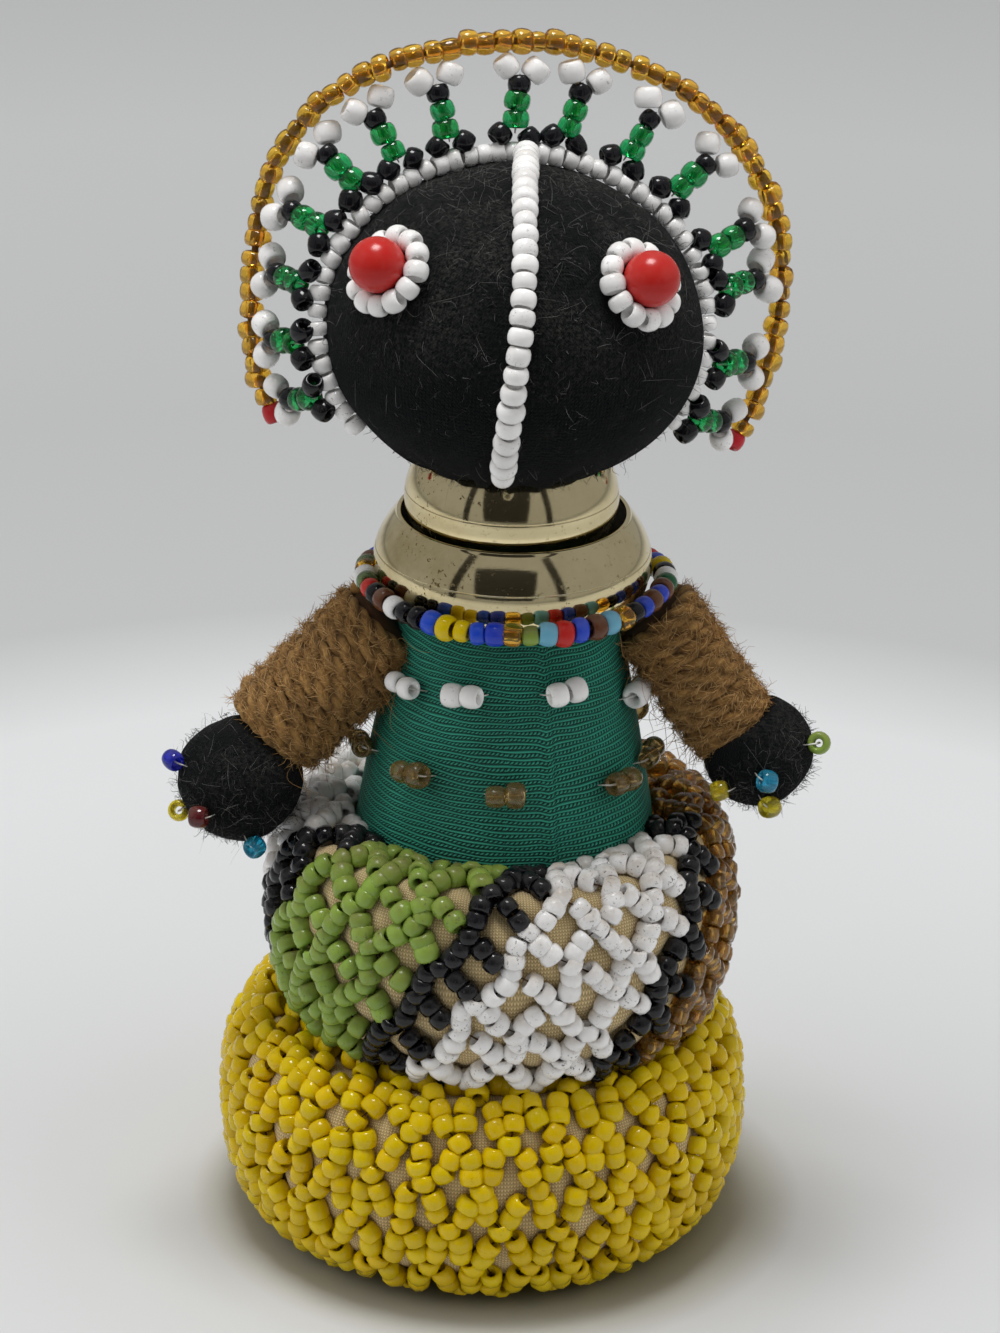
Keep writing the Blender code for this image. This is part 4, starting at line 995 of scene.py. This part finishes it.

# %% [markdown]
# ## Necklace
# One string of mixed glass beads lies round the foot of the lower brass ring, where the brass
# mirrors it. The colours follow no rule, so the front ones are listed from left to right.

# %% Necklace
NECKLACE_FINISHES = {"w": WHITE_BEAD, "g": MOSS_GLASS, "r": RED_BEAD, "k": BLACK_BEAD,
                     "n": BROWN_BEAD, "y": YELLOW_BEAD, "b": BLUE_BEAD, "a": AMBER_GLASS,
                     "l": LIME_BEAD, "s": SKY_BEAD, "d": GREEN_BEAD}
NECKLACE_FRONT = "wgrknwkkbyybbalsrbnsakbnbndw"
NECKLACE_BACK = "kybrnsglkbwyaknrbdlkswbrykbnga"
order = NECKLACE_FRONT + NECKLACE_BACK
letters = list(NECKLACE_FINISHES)
turn = (np.arange(len(order)) - len(NECKLACE_FRONT) / 2 + 0.5) * TURN / len(order)


def necklace_place(turn):
    """A loop of radius 16.22 + 1.25 cos t - 0.38 cos 2t and height 78.05 + 1.5 cos t - 0.95 cos 2t
    and a little waviness: further out in front, highest over the shoulders, lowest behind."""
    far = 16.22 + 1.25 * np.cos(turn) - 0.38 * np.cos(2 * turn)
    height = 78.05 + 1.5 * np.cos(turn) - 0.95 * np.cos(2 * turn) + 0.12 * np.sin(turn * 3 + 1.0)
    return np.stack([0.6 + far * np.sin(turn + 0.044), -far * np.cos(turn + 0.044), height], -1)


centres = necklace_place(turn) + scatter((len(order), 3), 0.07)
string_piece("necklace_beads", centres, np.stack([np.cos(turn), np.sin(turn), 0 * turn], -1),
             2.68, 1.86, list(NECKLACE_FINISHES.values()), "necklace_bead", ["necklace"],
             pick=[letters.index(letter) for letter in order], uneven=0.08)
loop = np.linspace(0, TURN, 120, endpoint=False)
path = necklace_place(loop)
points, faces = sweep(path, unit(path * [1, 1, 0]), circle(0.3, 6), closed=True)
make_piece("necklace_string", points, faces, [DARK_STRING])

# %% [markdown]
# ## Head
# The head is a ball of black felt, wider than it is tall and leaning a little. It is a surface
# of revolution with smooth unevenness, soft gathers under the chin where the cloth is drawn in,
# and a neck that goes down into the brass.

# %% Head
HEAD_Z = 108.2
HEAD_WIDE = 20.5
HEAD_TALL = 17.15
HEAD_LEAN = math.radians(3.0)
HEAD_ASIDE = -0.2
NECK = 8.0


def lean(points):
    """Points of the head's own frame, turned about Y by the lean and lifted to the neck."""
    cosine, sine = math.cos(HEAD_LEAN), math.sin(HEAD_LEAN)
    x, y, z = np.moveaxis(points, -1, 0)
    return np.stack([cosine * x + sine * z + HEAD_ASIDE, y,
                     cosine * z - sine * x + HEAD_Z], -1)


def turn_only(vectors):
    """Directions of the head's own frame, turned by its lean."""
    return lean(vectors) - [HEAD_ASIDE, 0, HEAD_Z]


def on_head(ways, lift):
    """A ray from the head's centre meets the surface where (x^2 + y^2) / a^2 + z^2 / c^2 = 1.
    Gives that point, moved out by lift along the normal, and the normal."""
    ways = unit(np.asarray(ways, float))
    shape = np.array([HEAD_WIDE, HEAD_WIDE, HEAD_TALL])
    points = ways / np.linalg.norm(ways / shape, axis=-1, keepdims=True)
    normals = unit(points / shape ** 2)
    return points + normals * lift, normals


def felt_head(rows=110, columns=200):
    """The ellipsoid's half outline, cosine out and sine up, joined to the straight neck."""
    turn = TURN * np.arange(columns)[None, :] / columns
    join = -math.acos(NECK / HEAD_WIDE)
    angle = np.linspace(join, math.pi / 2 - 0.01, rows)[:, None]
    radius = HEAD_WIDE * np.cos(angle) + 0 * turn
    height = HEAD_TALL * np.sin(angle) + 0 * turn
    points = np.stack([radius * np.sin(turn), -radius * np.cos(turn), height], -1)
    outward = unit(points / np.array([HEAD_WIDE, HEAD_WIDE, HEAD_TALL]) ** 2)
    chin = np.clip((-0.35 - angle) / 0.6, 0, 1) ** 1.5
    folds = 0.28 * chin * (np.sin(17 * turn + 2 * np.sin(3 * turn)) + 0.5 * np.sin(31 * turn + 1))
    cheek = 0.35 * np.exp(-((angle + 0.45) / 0.4) ** 2)
    points += (folds + cheek + ripple(points, 11.0, 0.14, 8))[..., None] * outward
    foot = 78.4 + NECK * math.sin(HEAD_LEAN) - HEAD_Z
    neck_height = np.linspace(foot, points[0, :, 2].mean() - 1.0, 6)[:, None]
    neck = np.stack([NECK * np.sin(turn) + 0 * neck_height, -NECK * np.cos(turn) + 0 * neck_height,
                     neck_height + 0 * turn], -1)
    points = np.concatenate([neck, points])
    rows = len(points)
    ends = np.array([[0, 0, foot], [0, 0, HEAD_TALL + 0.02]])
    points = np.concatenate([points.reshape(-1, 3), ends])
    item = make_piece("felt_head", lean(points), [grid_faces(rows, columns),
                                                  cap_faces(rows, columns)],
                      [FELT], ["head"], grid_uv(rows, columns, 120.0, 50.0))
    return item


felt_head()

# %% [markdown]
# ## Parting, eyes and crown row
# A string of white beads runs from the crown down the middle of the face. The eyes are glossy
# red beads, each in a ring of small white ones, and a row of white beads is sewn over the head
# from ear to ear.

# %% Head beads
PARTING_TURN = math.radians(0.3)
CROWN_BACK = math.radians(18.0)
CROWN_TWIST = math.radians(11.0)


def head_string(name, ways, lift, wide, long, slot, stands_for, closed=False, **more):
    """Beads on the head along given directions; each hole follows the string."""
    points, normals = on_head(ways, lift)
    if closed:
        ahead = np.roll(points, -1, 0) - np.roll(points, 1, 0)
    else:
        ahead = np.gradient(points, axis=0)
    return string_piece(name, lean(points), turn_only(ahead), wide, long, [WHITE_BEAD], slot,
                        stands_for, **more)


angle = np.linspace(math.pi / 2 + CROWN_BACK - 0.17, math.radians(-31.0), 26)
wander = PARTING_TURN + 0.02 * np.sin(angle * 3.0)
ways = np.stack([np.cos(angle) * np.sin(wander), -np.cos(angle) * np.cos(wander),
                 np.sin(angle)], -1)
head_string("parting_beads", ways, 1.35, 2.85, 1.85, "white_bead", ["parting_strand"], tilt=0.06)

EYES = {"left": (math.radians(-47.8), math.radians(29.9)),
        "right": (math.radians(44.4), math.radians(32.4))}
EYE_RADIUS = 3.0
EYE_RING_RADIUS = 3.65
for side, (azimuth, rise) in EYES.items():
    toward_eye = np.array([math.sin(azimuth) * math.cos(rise) * HEAD_WIDE,
                           -math.cos(azimuth) * math.cos(rise) * HEAD_WIDE,
                           math.sin(rise) * HEAD_TALL])
    centre, normal = on_head(toward_eye, EYE_RADIUS + 0.05)
    up = unit(np.cross(np.cross(normal, [0.0, 0.0, 1.0]), normal))
    across = np.cross(normal, up)
    around = TURN * np.arange(48)[:, None] / 48
    latitude = np.linspace(-1.45, 1.45, 30)[:, None, None]
    ball = EYE_RADIUS * (np.cos(latitude) * (np.cos(around) * across + np.sin(around) * up)
                         + np.sin(latitude) * normal)
    poles = centre + np.array([[-EYE_RADIUS], [EYE_RADIUS]]) * normal
    points = np.concatenate([(centre + ball).reshape(-1, 3), poles])
    make_piece(side + "_eye_bead", lean(points), [grid_faces(30, 48), cap_faces(30, 48)],
               [RED_BEAD], [side + "_eye"], tone=np.full(len(points), 0.5))
    ring = TURN * np.arange(12)[:, None] / 12 + 0.2
    spread = (np.cos(ring) * across + np.sin(ring) * up) * EYE_RING_RADIUS
    head_string(side + "_eye_ring_beads", toward_eye + spread, 1.5, 2.65, 1.85, "white_bead",
                [side + "_eye_ring"], closed=True, tilt=0.1)


def crown_axes():
    """The crown's plane on the head: its side, up and back directions."""
    side = np.array([math.cos(CROWN_TWIST), math.sin(CROWN_TWIST), 0.0])
    back = np.array([-math.sin(CROWN_TWIST) * math.cos(CROWN_BACK),
                     math.cos(CROWN_TWIST) * math.cos(CROWN_BACK), -math.sin(CROWN_BACK)])
    return side, np.cross(side, back), back


CROWN_SIDE, CROWN_UP, CROWN_REAR = crown_axes()
angle = np.radians(np.linspace(-122, 120, 49))[:, None]
head_string("crown_row_beads", CROWN_SIDE * np.sin(angle) + CROWN_UP * np.cos(angle), 1.1, 2.35,
            1.62, "white_bead", ["crown_row"], tilt=0.14)

# %% [markdown]
# ## Crown
# Fifteen spokes stand in a fan over the row: a pair of black beads on the head, two emerald
# beads, one black, and a pair of white beads. An arc of amber beads joins the tips, with a red
# bead at each end. Towards the ears the fan folds back.

# %% Crown
SPOKE_ANGLES = np.radians([-110.0, -95.5, -80.5, -66.0, -51.5, -38.0, -21.5, -0.5, 15.5, 35.0,
                           52.5, 70.5, 81.5, 100.5, 116.0])
ARC_ENDS = (-113.5, 119.5)
SPOKE_LIFT = 2.9
ARC_REACH = 10.1
ARC_STEP = 1.93
FAN_SHARE = 0.87
LEFT_FOLD, LEFT_FOLD_FROM, LEFT_FOLD_OVER = 62, 28, 60
RIGHT_FOLD, RIGHT_FOLD_FROM, RIGHT_FOLD_OVER = 46, 35, 70


def smooth(value):
    """Ease from 0 to 1: 3 s^2 - 2 s^3."""
    share = np.clip(value, 0, 1)
    return share * share * (3 - 2 * share)


def crown_ray(angle, lift):
    """The crown's foot above the head, and the way out from there: a fan in the crown's plane,
    turned back by a fold that grows smoothly towards the ears."""
    angle = np.asarray(angle)[..., None]
    foot, _ = on_head(CROWN_SIDE * np.sin(angle) + CROWN_UP * np.cos(angle), lift)
    flat = CROWN_SIDE * np.sin(angle * FAN_SHARE) + CROWN_UP * np.cos(angle * FAN_SHARE)
    degrees = np.degrees(np.abs(angle))
    left = LEFT_FOLD * smooth((degrees - LEFT_FOLD_FROM) / LEFT_FOLD_OVER)
    right = RIGHT_FOLD * smooth((degrees - RIGHT_FOLD_FROM) / RIGHT_FOLD_OVER)
    fold = np.radians(np.where(angle < 0, left, right))
    return foot, unit(flat * np.cos(fold) + CROWN_REAR * np.sin(fold) + [0.08, 0.0, 0.0])


foot, rays = crown_ray(SPOKE_ANGLES, SPOKE_LIFT)
across = (crown_ray(SPOKE_ANGLES + 0.02, SPOKE_LIFT)[0]
          - crown_ray(SPOKE_ANGLES - 0.02, SPOKE_LIFT)[0])
across = unit(across - rays * (across * rays).sum(-1, keepdims=True))
# Each bead: how far out along the spoke, how far aside, width, length and number of its finish
SPOKE_BEADS = ((-0.1, -1.5, 2.5, 2.1, 1), (-0.1, 1.5, 2.5, 2.1, 1), (1.65, 0, 2.85, 2.0, 2),
               (3.65, 0, 2.85, 2.0, 2), (5.5, 0, 2.5, 1.8, 1), (7.25, -1.65, 2.95, 2.3, 0),
               (7.25, 1.65, 2.95, 2.3, 0))
for index in range(len(SPOKE_ANGLES)):
    centres, ways, wide, long, pick = [], [], [], [], []
    for distance, aside, width, length, finish in SPOKE_BEADS:
        centres.append(foot[index] + rays[index] * (distance + draw.normal(0, 0.07))
                       + across[index] * (aside + draw.normal(0, 0.08)))
        lean_in = np.sign(aside) * (-0.7 if distance < 1 else 0.5)
        ways.append(rays[index] * (1.0 if aside == 0 else 0.75) + across[index] * lean_in)
        wide.append(width)
        long.append(length)
        pick.append(finish)
    name = f"crown_spoke_{index + 1:02d}"
    string_piece(name + "_beads", lean(np.array(centres)), turn_only(np.array(ways)),
                 np.array(wide), np.array(long), [WHITE_BEAD, BLACK_BEAD, EMERALD_GLASS],
                 "crown_bead", [name], pick=pick, uneven=0.05, tilt=0.09)
    start = foot[index] + rays[index] * 0.2
    path = start + rays[index] * np.linspace(0, 6.4, 6)[:, None]
    hairs_piece(name + "_thread", lean(path)[None], 0.25, WHITE_THREAD)


def arc_path(angles):
    """The line of the outer arc at given crown angles."""
    foot, rays = crown_ray(angles, SPOKE_LIFT)
    return lean(foot + rays * ARC_REACH)


dense = arc_path(np.radians(np.linspace(*ARC_ENDS, 600)))
reach = np.concatenate([[0], np.cumsum(np.linalg.norm(np.diff(dense, axis=0), axis=1))])
count = int(reach[-1] / ARC_STEP) + 1
stops = np.linspace(0, reach[-1], count)
centres = np.stack([np.interp(stops, reach, dense[:, k]) for k in range(3)], -1)
centres[1:-1] += scatter((count - 2, 3), 0.12)
pick = np.zeros(count, int)
pick[[0, -1]] = 1
string_piece("crown_arc_beads", centres, np.gradient(centres, axis=0), 2.65,
             1.85, [AMBER_GLASS, RED_BEAD], "amber_glass", ["crown_arc"], pick=pick, uneven=0.09,
             tilt=0.12)
points, faces = sweep(dense[::6], unit(dense[::6] - [0, 0, HEAD_Z]), circle(0.38, 8))
make_piece("crown_arc_string", points, faces, [DARK_STRING])
print("beads in the arc:", count)

# %% [markdown]
# ## Arms
# Each arm is a roll of jute twine. The twine itself is modelled: its path is a helix round the
# arm's axis, and its section has three lobes that turn as it goes, as three-ply twine does.
# Loose fibres stand off it, and hang below where the twine has frayed.

# %% Arms
ARMS = {"left": ((-12.61, -0.5, 73.7), (-27.1, -3.0, 59.4), 6.1),
        "right": ((15.52, -0.5, 75.4), (25.93, -2.0, 60.6), 5.1)}
TWINE = 2.0


def twine_arm(side, shoulder, wrist, radius):
    """The path is axis point + radius * (cos t * across + sin t * deep), rising one pitch a
    turn. The twine's own radius is 1.08 * (0.85 + 0.25 |cos(1.5 (b - twist))|), with b the
    angle round the twine: three round plies with sharp creases between them."""
    shoulder, wrist = np.array(shoulder), np.array(wrist)
    length = np.linalg.norm(wrist - shoulder)
    along = (wrist - shoulder) / length
    across = unit(np.cross([0.0, 1.0, 0.0], along))
    deep = np.cross(along, across)
    turns = length / TWINE
    steps = int(turns * 130)
    share = np.linspace(0, 1, steps)
    turn = TURN * turns * share
    outward = np.cos(turn)[:, None] * across + np.sin(turn)[:, None] * deep
    swell = 1 - 0.10 * np.clip(1 - share * length / 1.5, 0, 1) - 0.14 * np.clip(
        1 - (1 - share) * length / 1.6, 0, 1)
    wobble = 0.10 * np.sin(turn * 0.37) + 0.08 * np.sin(turn * 1.9 + 1)
    core = (radius - 1.0) * swell + wobble
    path = (shoulder + along * (share * (length - 1.6) + 0.8
                                + 0.16 * np.sin(turn * 0.77 + 2))[:, None]
            + outward * core[:, None])
    around = TURN * np.arange(18)[None, :] / 18
    travelled = share * turns * TURN * (radius - 1)
    ply = np.abs(np.cos(1.5 * (around - TURN * travelled[:, None] / 6.6)))
    thick = 1.08 * (0.85 + 0.25 * ply) * (1 + 0.06 * np.sin(turn * 0.71)[:, None])
    profile = np.stack([thick * np.cos(around), thick * np.sin(around)], -1)
    points, faces = sweep(path, outward, profile)
    points += ripple(points, 1.1, 0.10, 31)[:, None] * unit(points - shoulder - along * (
        (points - shoulder) @ along)[:, None])
    uv = grid_uv(steps, 18, 2.2, travelled[-1])
    # The tone is low in the creases between the plies, where the twine's finish paints shade.
    tone = np.concatenate([(ply ** 0.6).ravel(), [0.5, 0.5]])
    make_piece(side + "_arm_twine", points, faces, [JUTE], [side + "_arm"],
               uv[:, ::-1], tone)
    level = np.array([0.4, 1.0, length / 2, length - 1.2, length - 0.5])
    inner = np.array([radius * 0.5, radius - 1.3, radius - 1.3, radius - 1.5, radius * 0.55])
    cross = circle(1.0, 24)
    core_path = shoulder + along * level[:, None]
    profile = cross[None] * inner[:, None, None]
    points, faces = sweep(core_path, np.broadcast_to(across, core_path.shape), profile)
    make_piece(side + "_arm_core", points, faces, [JUTE])
    return path, outward


def loose_fibres(side, path, outward, count):
    """Short curly hairs from random places on the twine, and long ones that hang under it."""
    spot = draw.integers(0, len(path), count)
    lay = unit(np.gradient(path, axis=0))[spot]
    ways = unit(outward[spot] * draw.uniform(0.2, 1.0, (count, 1)) + lay * draw.normal(
        0, 1.0, (count, 1)) + 0.4 * draw.normal(size=(count, 3)))
    starts = path[spot] + outward[spot] * 0.9
    short = curly(starts, ways, draw.uniform(0.3, 1.0, count), 0.7)
    hairs_piece(side + "_arm_fuzz", short, 0.03, JUTE_HAIR)
    spot = draw.integers(0, len(path), 4 * count)
    ways = unit(np.gradient(path, axis=0))[spot] + 0.6 * draw.normal(size=(4 * count, 3))
    ways = unit(ways - outward[spot] * (ways * outward[spot]).sum(-1, keepdims=True))
    flat = curly(path[spot] + outward[spot] * 1.12, ways, draw.uniform(0.6, 2.0, 4 * count),
                 0.25, 5)
    hairs_piece(side + "_arm_matted_fibres", flat[:2 * count], 0.042, JUTE_HAIR)
    hairs_piece(side + "_arm_pale_fibres", flat[2 * count:], 0.032, PALE_JUTE)
    under = np.flatnonzero(outward[:, 2] < -0.2)
    by_body = np.flatnonzero((outward[:, 2] < 0.1) & (np.arange(len(path)) < 0.35 * len(path)))
    spot = np.concatenate([draw.choice(under, count // 8), draw.choice(by_body, count // 8)])
    ways = unit(outward[spot] + 0.7 * draw.normal(size=(len(spot), 3)))
    long = curly(path[spot] + outward[spot] * 0.8, ways, draw.uniform(1.0, 3.0, len(spot)), 0.7,
                 13, 0.35)
    hairs_piece(side + "_arm_frayed_fibres", long, 0.035, JUTE_HAIR)


FIBRES = 1300
for side, (shoulder, wrist, radius) in ARMS.items():
    path, outward = twine_arm(side, shoulder, wrist, radius)
    loose_fibres(side, path, outward, FIBRES)

# %% [markdown]
# ## Hands
# The hands are balls of black felt, a little lumpy, pushed into the ends of the twine. Small
# glass beads stand on them for fingers.

# %% Hands and finger beads
HANDS = {"left": ((-29.8, -5.0, 55.3), 7.0), "right": ((28.2, -3.0, 59.2), 6.2)}
FINGERS = {"left": {"cobalt": (-72, 22), "yellow": (-95, -33), "garnet": (-31, -11),
                    "teal": (19, -45)},
           "right": {"citrine": (-38, -20), "blue": (6, -3), "yellow": (12, -34),
                     "lime": (68, 17)}}
FINGER_GLASS = {"cobalt": (COBALT_GLASS, "cobalt_glass"), "yellow": (CITRINE_GLASS, "yellow_glass"),
                "garnet": (GARNET_GLASS, "garnet_glass"), "teal": (TEAL_GLASS, "teal_glass"),
                "citrine": (CITRINE_GLASS, "yellow_glass"), "blue": (TEAL_GLASS, "teal_glass"),
                "lime": (LIME_BEAD, "lime_bead")}


def ball_grid(rows, columns):
    """Directions over a whole ball, with its two poles last."""
    rise = np.linspace(-math.pi / 2 + 0.04, math.pi / 2 - 0.04, rows)[:, None]
    turn = TURN * np.arange(columns)[None, :] / columns
    ways = np.stack([np.cos(rise) * np.sin(turn), -np.cos(rise) * np.cos(turn),
                     np.sin(rise) + 0 * turn], -1).reshape(-1, 3)
    return np.concatenate([ways, [[0, 0, -1], [0, 0, 1]]])


def felt_hand(side):
    """A ball with smooth lumps. What would lie past the wrist is pressed flat against it."""
    centre, radius = np.array(HANDS[side][0]), HANDS[side][1]
    shoulder, wrist, _ = (np.array(value) for value in ARMS[side])
    along = unit(wrist - shoulder)
    ways = ball_grid(60, 90)
    points = centre + ways * (radius + ripple(ways * radius, 7.0, 0.14, 21)
                              + ripple(ways * radius, 3.4, 0.06, 22))[:, None]
    past = np.minimum((points - wrist) @ along + 1.2, 0)
    points -= past[:, None] * along
    item = make_piece(side + "_felt_hand", points, [grid_faces(60, 90), cap_faces(60, 90)],
                      [FELT], [side + "_hand"], grid_uv(60, 90, 44.0, 22.0))
    return item


for side, fingers in FINGERS.items():
    felt_hand(side)
    centre, radius = np.array(HANDS[side][0]), HANDS[side][1]
    for colour, (azimuth, rise) in fingers.items():
        azimuth, rise = math.radians(azimuth), math.radians(rise)
        out = np.array([math.sin(azimuth) * math.cos(rise), -math.cos(azimuth) * math.cos(rise),
                        math.sin(rise)])
        name = f"{side}_finger_bead_{colour}"
        glass, slot = FINGER_GLASS[colour]
        middle = centre + out * (radius + 1.35)
        aside = unit(np.cross(out, [0.3, 0.2, 1.0]))
        string_piece(name + "_glass", middle[None], (aside + 0.4 * out)[None], 2.5, 1.9,
                     [glass], slot, [name])
        share = np.linspace(-1, 1, 11)[:, None]
        path = middle + aside * share * 1.25 - out * 1.4 * np.abs(share) ** 3
        hairs_piece(name + "_thread", path[None], 0.16, WHITE_THREAD)

# %% [markdown]
# ## Lint and fuzz
# Felt is never clean: pale hairs cling to it, and a short black fuzz blurs its outline. Both are
# real hairs here, a few hundredths of a millimetre thick.

# %% Lint and fuzz
def felt_hairs(label, points, normals, count, length, thick, finish, lift, curl):
    """Hairs from points of a felt surface, mostly lying along it."""
    spread = draw.normal(size=(count, 3))
    ways = unit(spread - normals * (spread * normals).sum(-1, keepdims=True) * (1 - lift)
                + normals * lift)
    paths = curly(points, ways, length, curl, 8)
    hairs_piece(label, paths, thick, finish)


ways = unit(draw.normal(size=(1800, 3)) + [0, -0.2, 0.2])
points, normals = on_head(ways, 0.15)
felt_hairs("head_fuzz", lean(points), turn_only(normals), 1800, draw.uniform(0.4, 1.2, 1800),
           0.03, FUZZ, 0.8, 0.4)
ways = unit(draw.normal(size=(700, 3)) + [0, -0.6, 0.9])
points, normals = on_head(ways, 0.22)
felt_hairs("head_lint", lean(points), turn_only(normals), 700, draw.uniform(0.3, 2.2, 700),
           0.013, LINT, 0.03, 0.7)
for side, (centre, radius) in HANDS.items():
    for label, count, low, high, thick, finish, lift in (
            ("fuzz", 900, 0.4, 1.2, 0.03, FUZZ, 0.6), ("lint", 260, 0.6, 2.4, 0.012, LINT, 0.03)):
        ways = unit(draw.normal(size=(count, 3)) + [0, -0.5, -0.1])
        shoulder, wrist, _ = (np.array(value) for value in ARMS[side])
        points = np.array(centre) + ways * (radius + 0.12)
        keep = (points - wrist) @ unit(wrist - shoulder) > 0.6
        felt_hairs(f"{side}_hand_{label}", points[keep], ways[keep], int(keep.sum()),
                   draw.uniform(low, high, int(keep.sum())), thick, finish, lift, 0.45)

# %% [markdown]
# ## Table and light
# The doll stands on a pale sheet in soft light. The sheet's colour holds painted light: a painted
# fall-off, brightest round her and darker further off, then lighter again far away, painted shade
# near her feet and a brown-yellow painted shadow under the skirt. One lamp hangs overhead, with
# larger and weaker ones at the sides, so shadows are soft and lie close under the skirt. Three dark
# cards in front give the brass something to mirror.

# %% Table and light
def flat_disc(name, radius, rings, columns):
    """Rings of points on the table, spaced by the square of their number."""
    far = radius * (np.arange(1, rings + 1) / rings)[:, None] ** 2
    turn = TURN * np.arange(columns)[None, :] / columns
    points = np.stack([far * np.sin(turn), -far * np.cos(turn), 0 * far + 0 * turn], -1)
    points = np.concatenate([points.reshape(-1, 3), [[0, 0, 0]]]) * MM
    one = np.arange(columns)
    middle = np.stack([(one + 1) % columns, one, one * 0 + rings * columns], -1)
    mesh = bpy.data.meshes.new(name)
    faces = grid_faces(rings, columns)[:, ::-1].tolist() + middle[:, ::-1].tolist()
    mesh.from_pydata(points.tolist(), [], faces)
    item = bpy.data.objects.new(name, mesh)
    bpy.context.scene.collection.objects.link(item)
    item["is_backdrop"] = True
    return item


table = flat_disc("table", 4000, 24, 64)
PAPER, tree, shader = new_finish("pale paper")
away = add_node(tree, "ShaderNodeVectorMath", {"operation": "LENGTH"}, Vector=object_place(tree))
# Painted fall-off of light: the sheet's colour darkens from 140 to 175 mm out.
painted_falloff = span(tree, away.outputs["Value"], 0.14, 0.175)
paper = mix(tree, painted_falloff, (0.675, 0.685, 0.69, 1), (0.485, 0.49, 0.49, 1))
# Painted shade darkens the sheet near her feet, up to 120 mm out, and painted light brightens it
# again from 260 to 420 mm out.
painted_near_shade_far_light = calc(tree, "MULTIPLY", span(tree, away.outputs["Value"], 0.045, 0.12, 0.92, 1.03),
             span(tree, away.outputs["Value"], 0.26, 0.42, 1.0, 1.2))
paper = mix(tree, 1.0, paper, painted_near_shade_far_light, "MULTIPLY")
# Painted shadow: a dark brown-yellow tint under the skirt, standing for shade coloured by light
# bounced off the yellow beads.
painted_skirt_shadow = span(tree, away.outputs["Value"], 0.022, 0.036, 1.0, 0.0)
put(tree, shader.inputs["Base Color"], mix(tree, painted_skirt_shadow, paper, (0.20, 0.17, 0.05, 1)))
shader.inputs["Roughness"].default_value = 0.7
table.data.materials.append(PAPER)


def lamp(name, place, aim, size, watts):
    """A square white area lamp at a place, in millimetres, turned to face a point."""
    item = bpy.data.objects.new(name, bpy.data.lights.new(name, "AREA"))
    item.data.size = size * MM
    item.data.energy = watts
    item.location = Vector(place) * MM
    item.rotation_euler = (Vector(aim) - Vector(place)).to_track_quat("-Z", "Y").to_euler()
    bpy.context.scene.collection.objects.link(item)
    return item


lamp("overhead lamp", (-60, 40, 900), (0, 0, 60), 300, 5.0)
for name, x, watts in (("left lamp", -900, 3.4), ("right lamp", 900, 2.8)):
    lamp(name, (x, -200, 520), (0, 0, 70), 900, watts).visible_glossy = False


CARD_DISTANCE = 560
NECK_HEIGHT = 85


def room_card(name, degrees, half_across, half_up):
    """A dark card that faces the neck and that only shiny surfaces see. degrees is its turn from
    the front, and it stands as high over the table, as an angle, as the view."""
    turn = math.radians(degrees)
    out = np.array([math.sin(turn) * math.cos(VIEW_RISE), -math.cos(turn) * math.cos(VIEW_RISE),
                    math.sin(VIEW_RISE)])
    across = np.array([math.cos(turn), math.sin(turn), 0.0])
    up = np.cross(out, across)
    corners = [[-1, -1], [1, -1], [1, 1], [-1, 1]] * np.array([half_across, half_up])
    middle = out * CARD_DISTANCE + [0, 0, NECK_HEIGHT]
    points = (middle + corners[:, :1] * across + corners[:, 1:] * up) * MM
    mesh = bpy.data.meshes.new(name)
    mesh.from_pydata(points.tolist(), [], [(0, 1, 2, 3)])
    item = bpy.data.objects.new(name, mesh)
    bpy.context.scene.collection.objects.link(item)
    mesh.materials.append(CARD)
    item.visible_camera = item.visible_diffuse = item.visible_shadow = False
    item.visible_transmission = False
    item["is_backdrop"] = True


CARD, tree, shader = new_finish("dark card")
shader.inputs["Base Color"].default_value = (0.02, 0.018, 0.016, 1)
shader.inputs["Roughness"].default_value = 0.9
room_card("middle card", -6, 250, 240)
room_card("left card", -48, 34, 320)
room_card("right card", 40, 34, 320)
world = bpy.data.worlds.new("soft room")
bpy.context.scene.world = world
world.use_nodes = True
world.node_tree.nodes["Background"].inputs["Color"].default_value = (0.80, 0.80, 0.80, 1)
world.node_tree.nodes["Background"].inputs["Strength"].default_value = 0.36

# %% Sizes and finish
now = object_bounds()
sizes = {"cad_box": [[float(c) for c in corner] for corner in CAD_BOX],
         "visual_box": [[float(c) for c in corner] for corner in now]}
print("visual box", sizes["visual_box"])
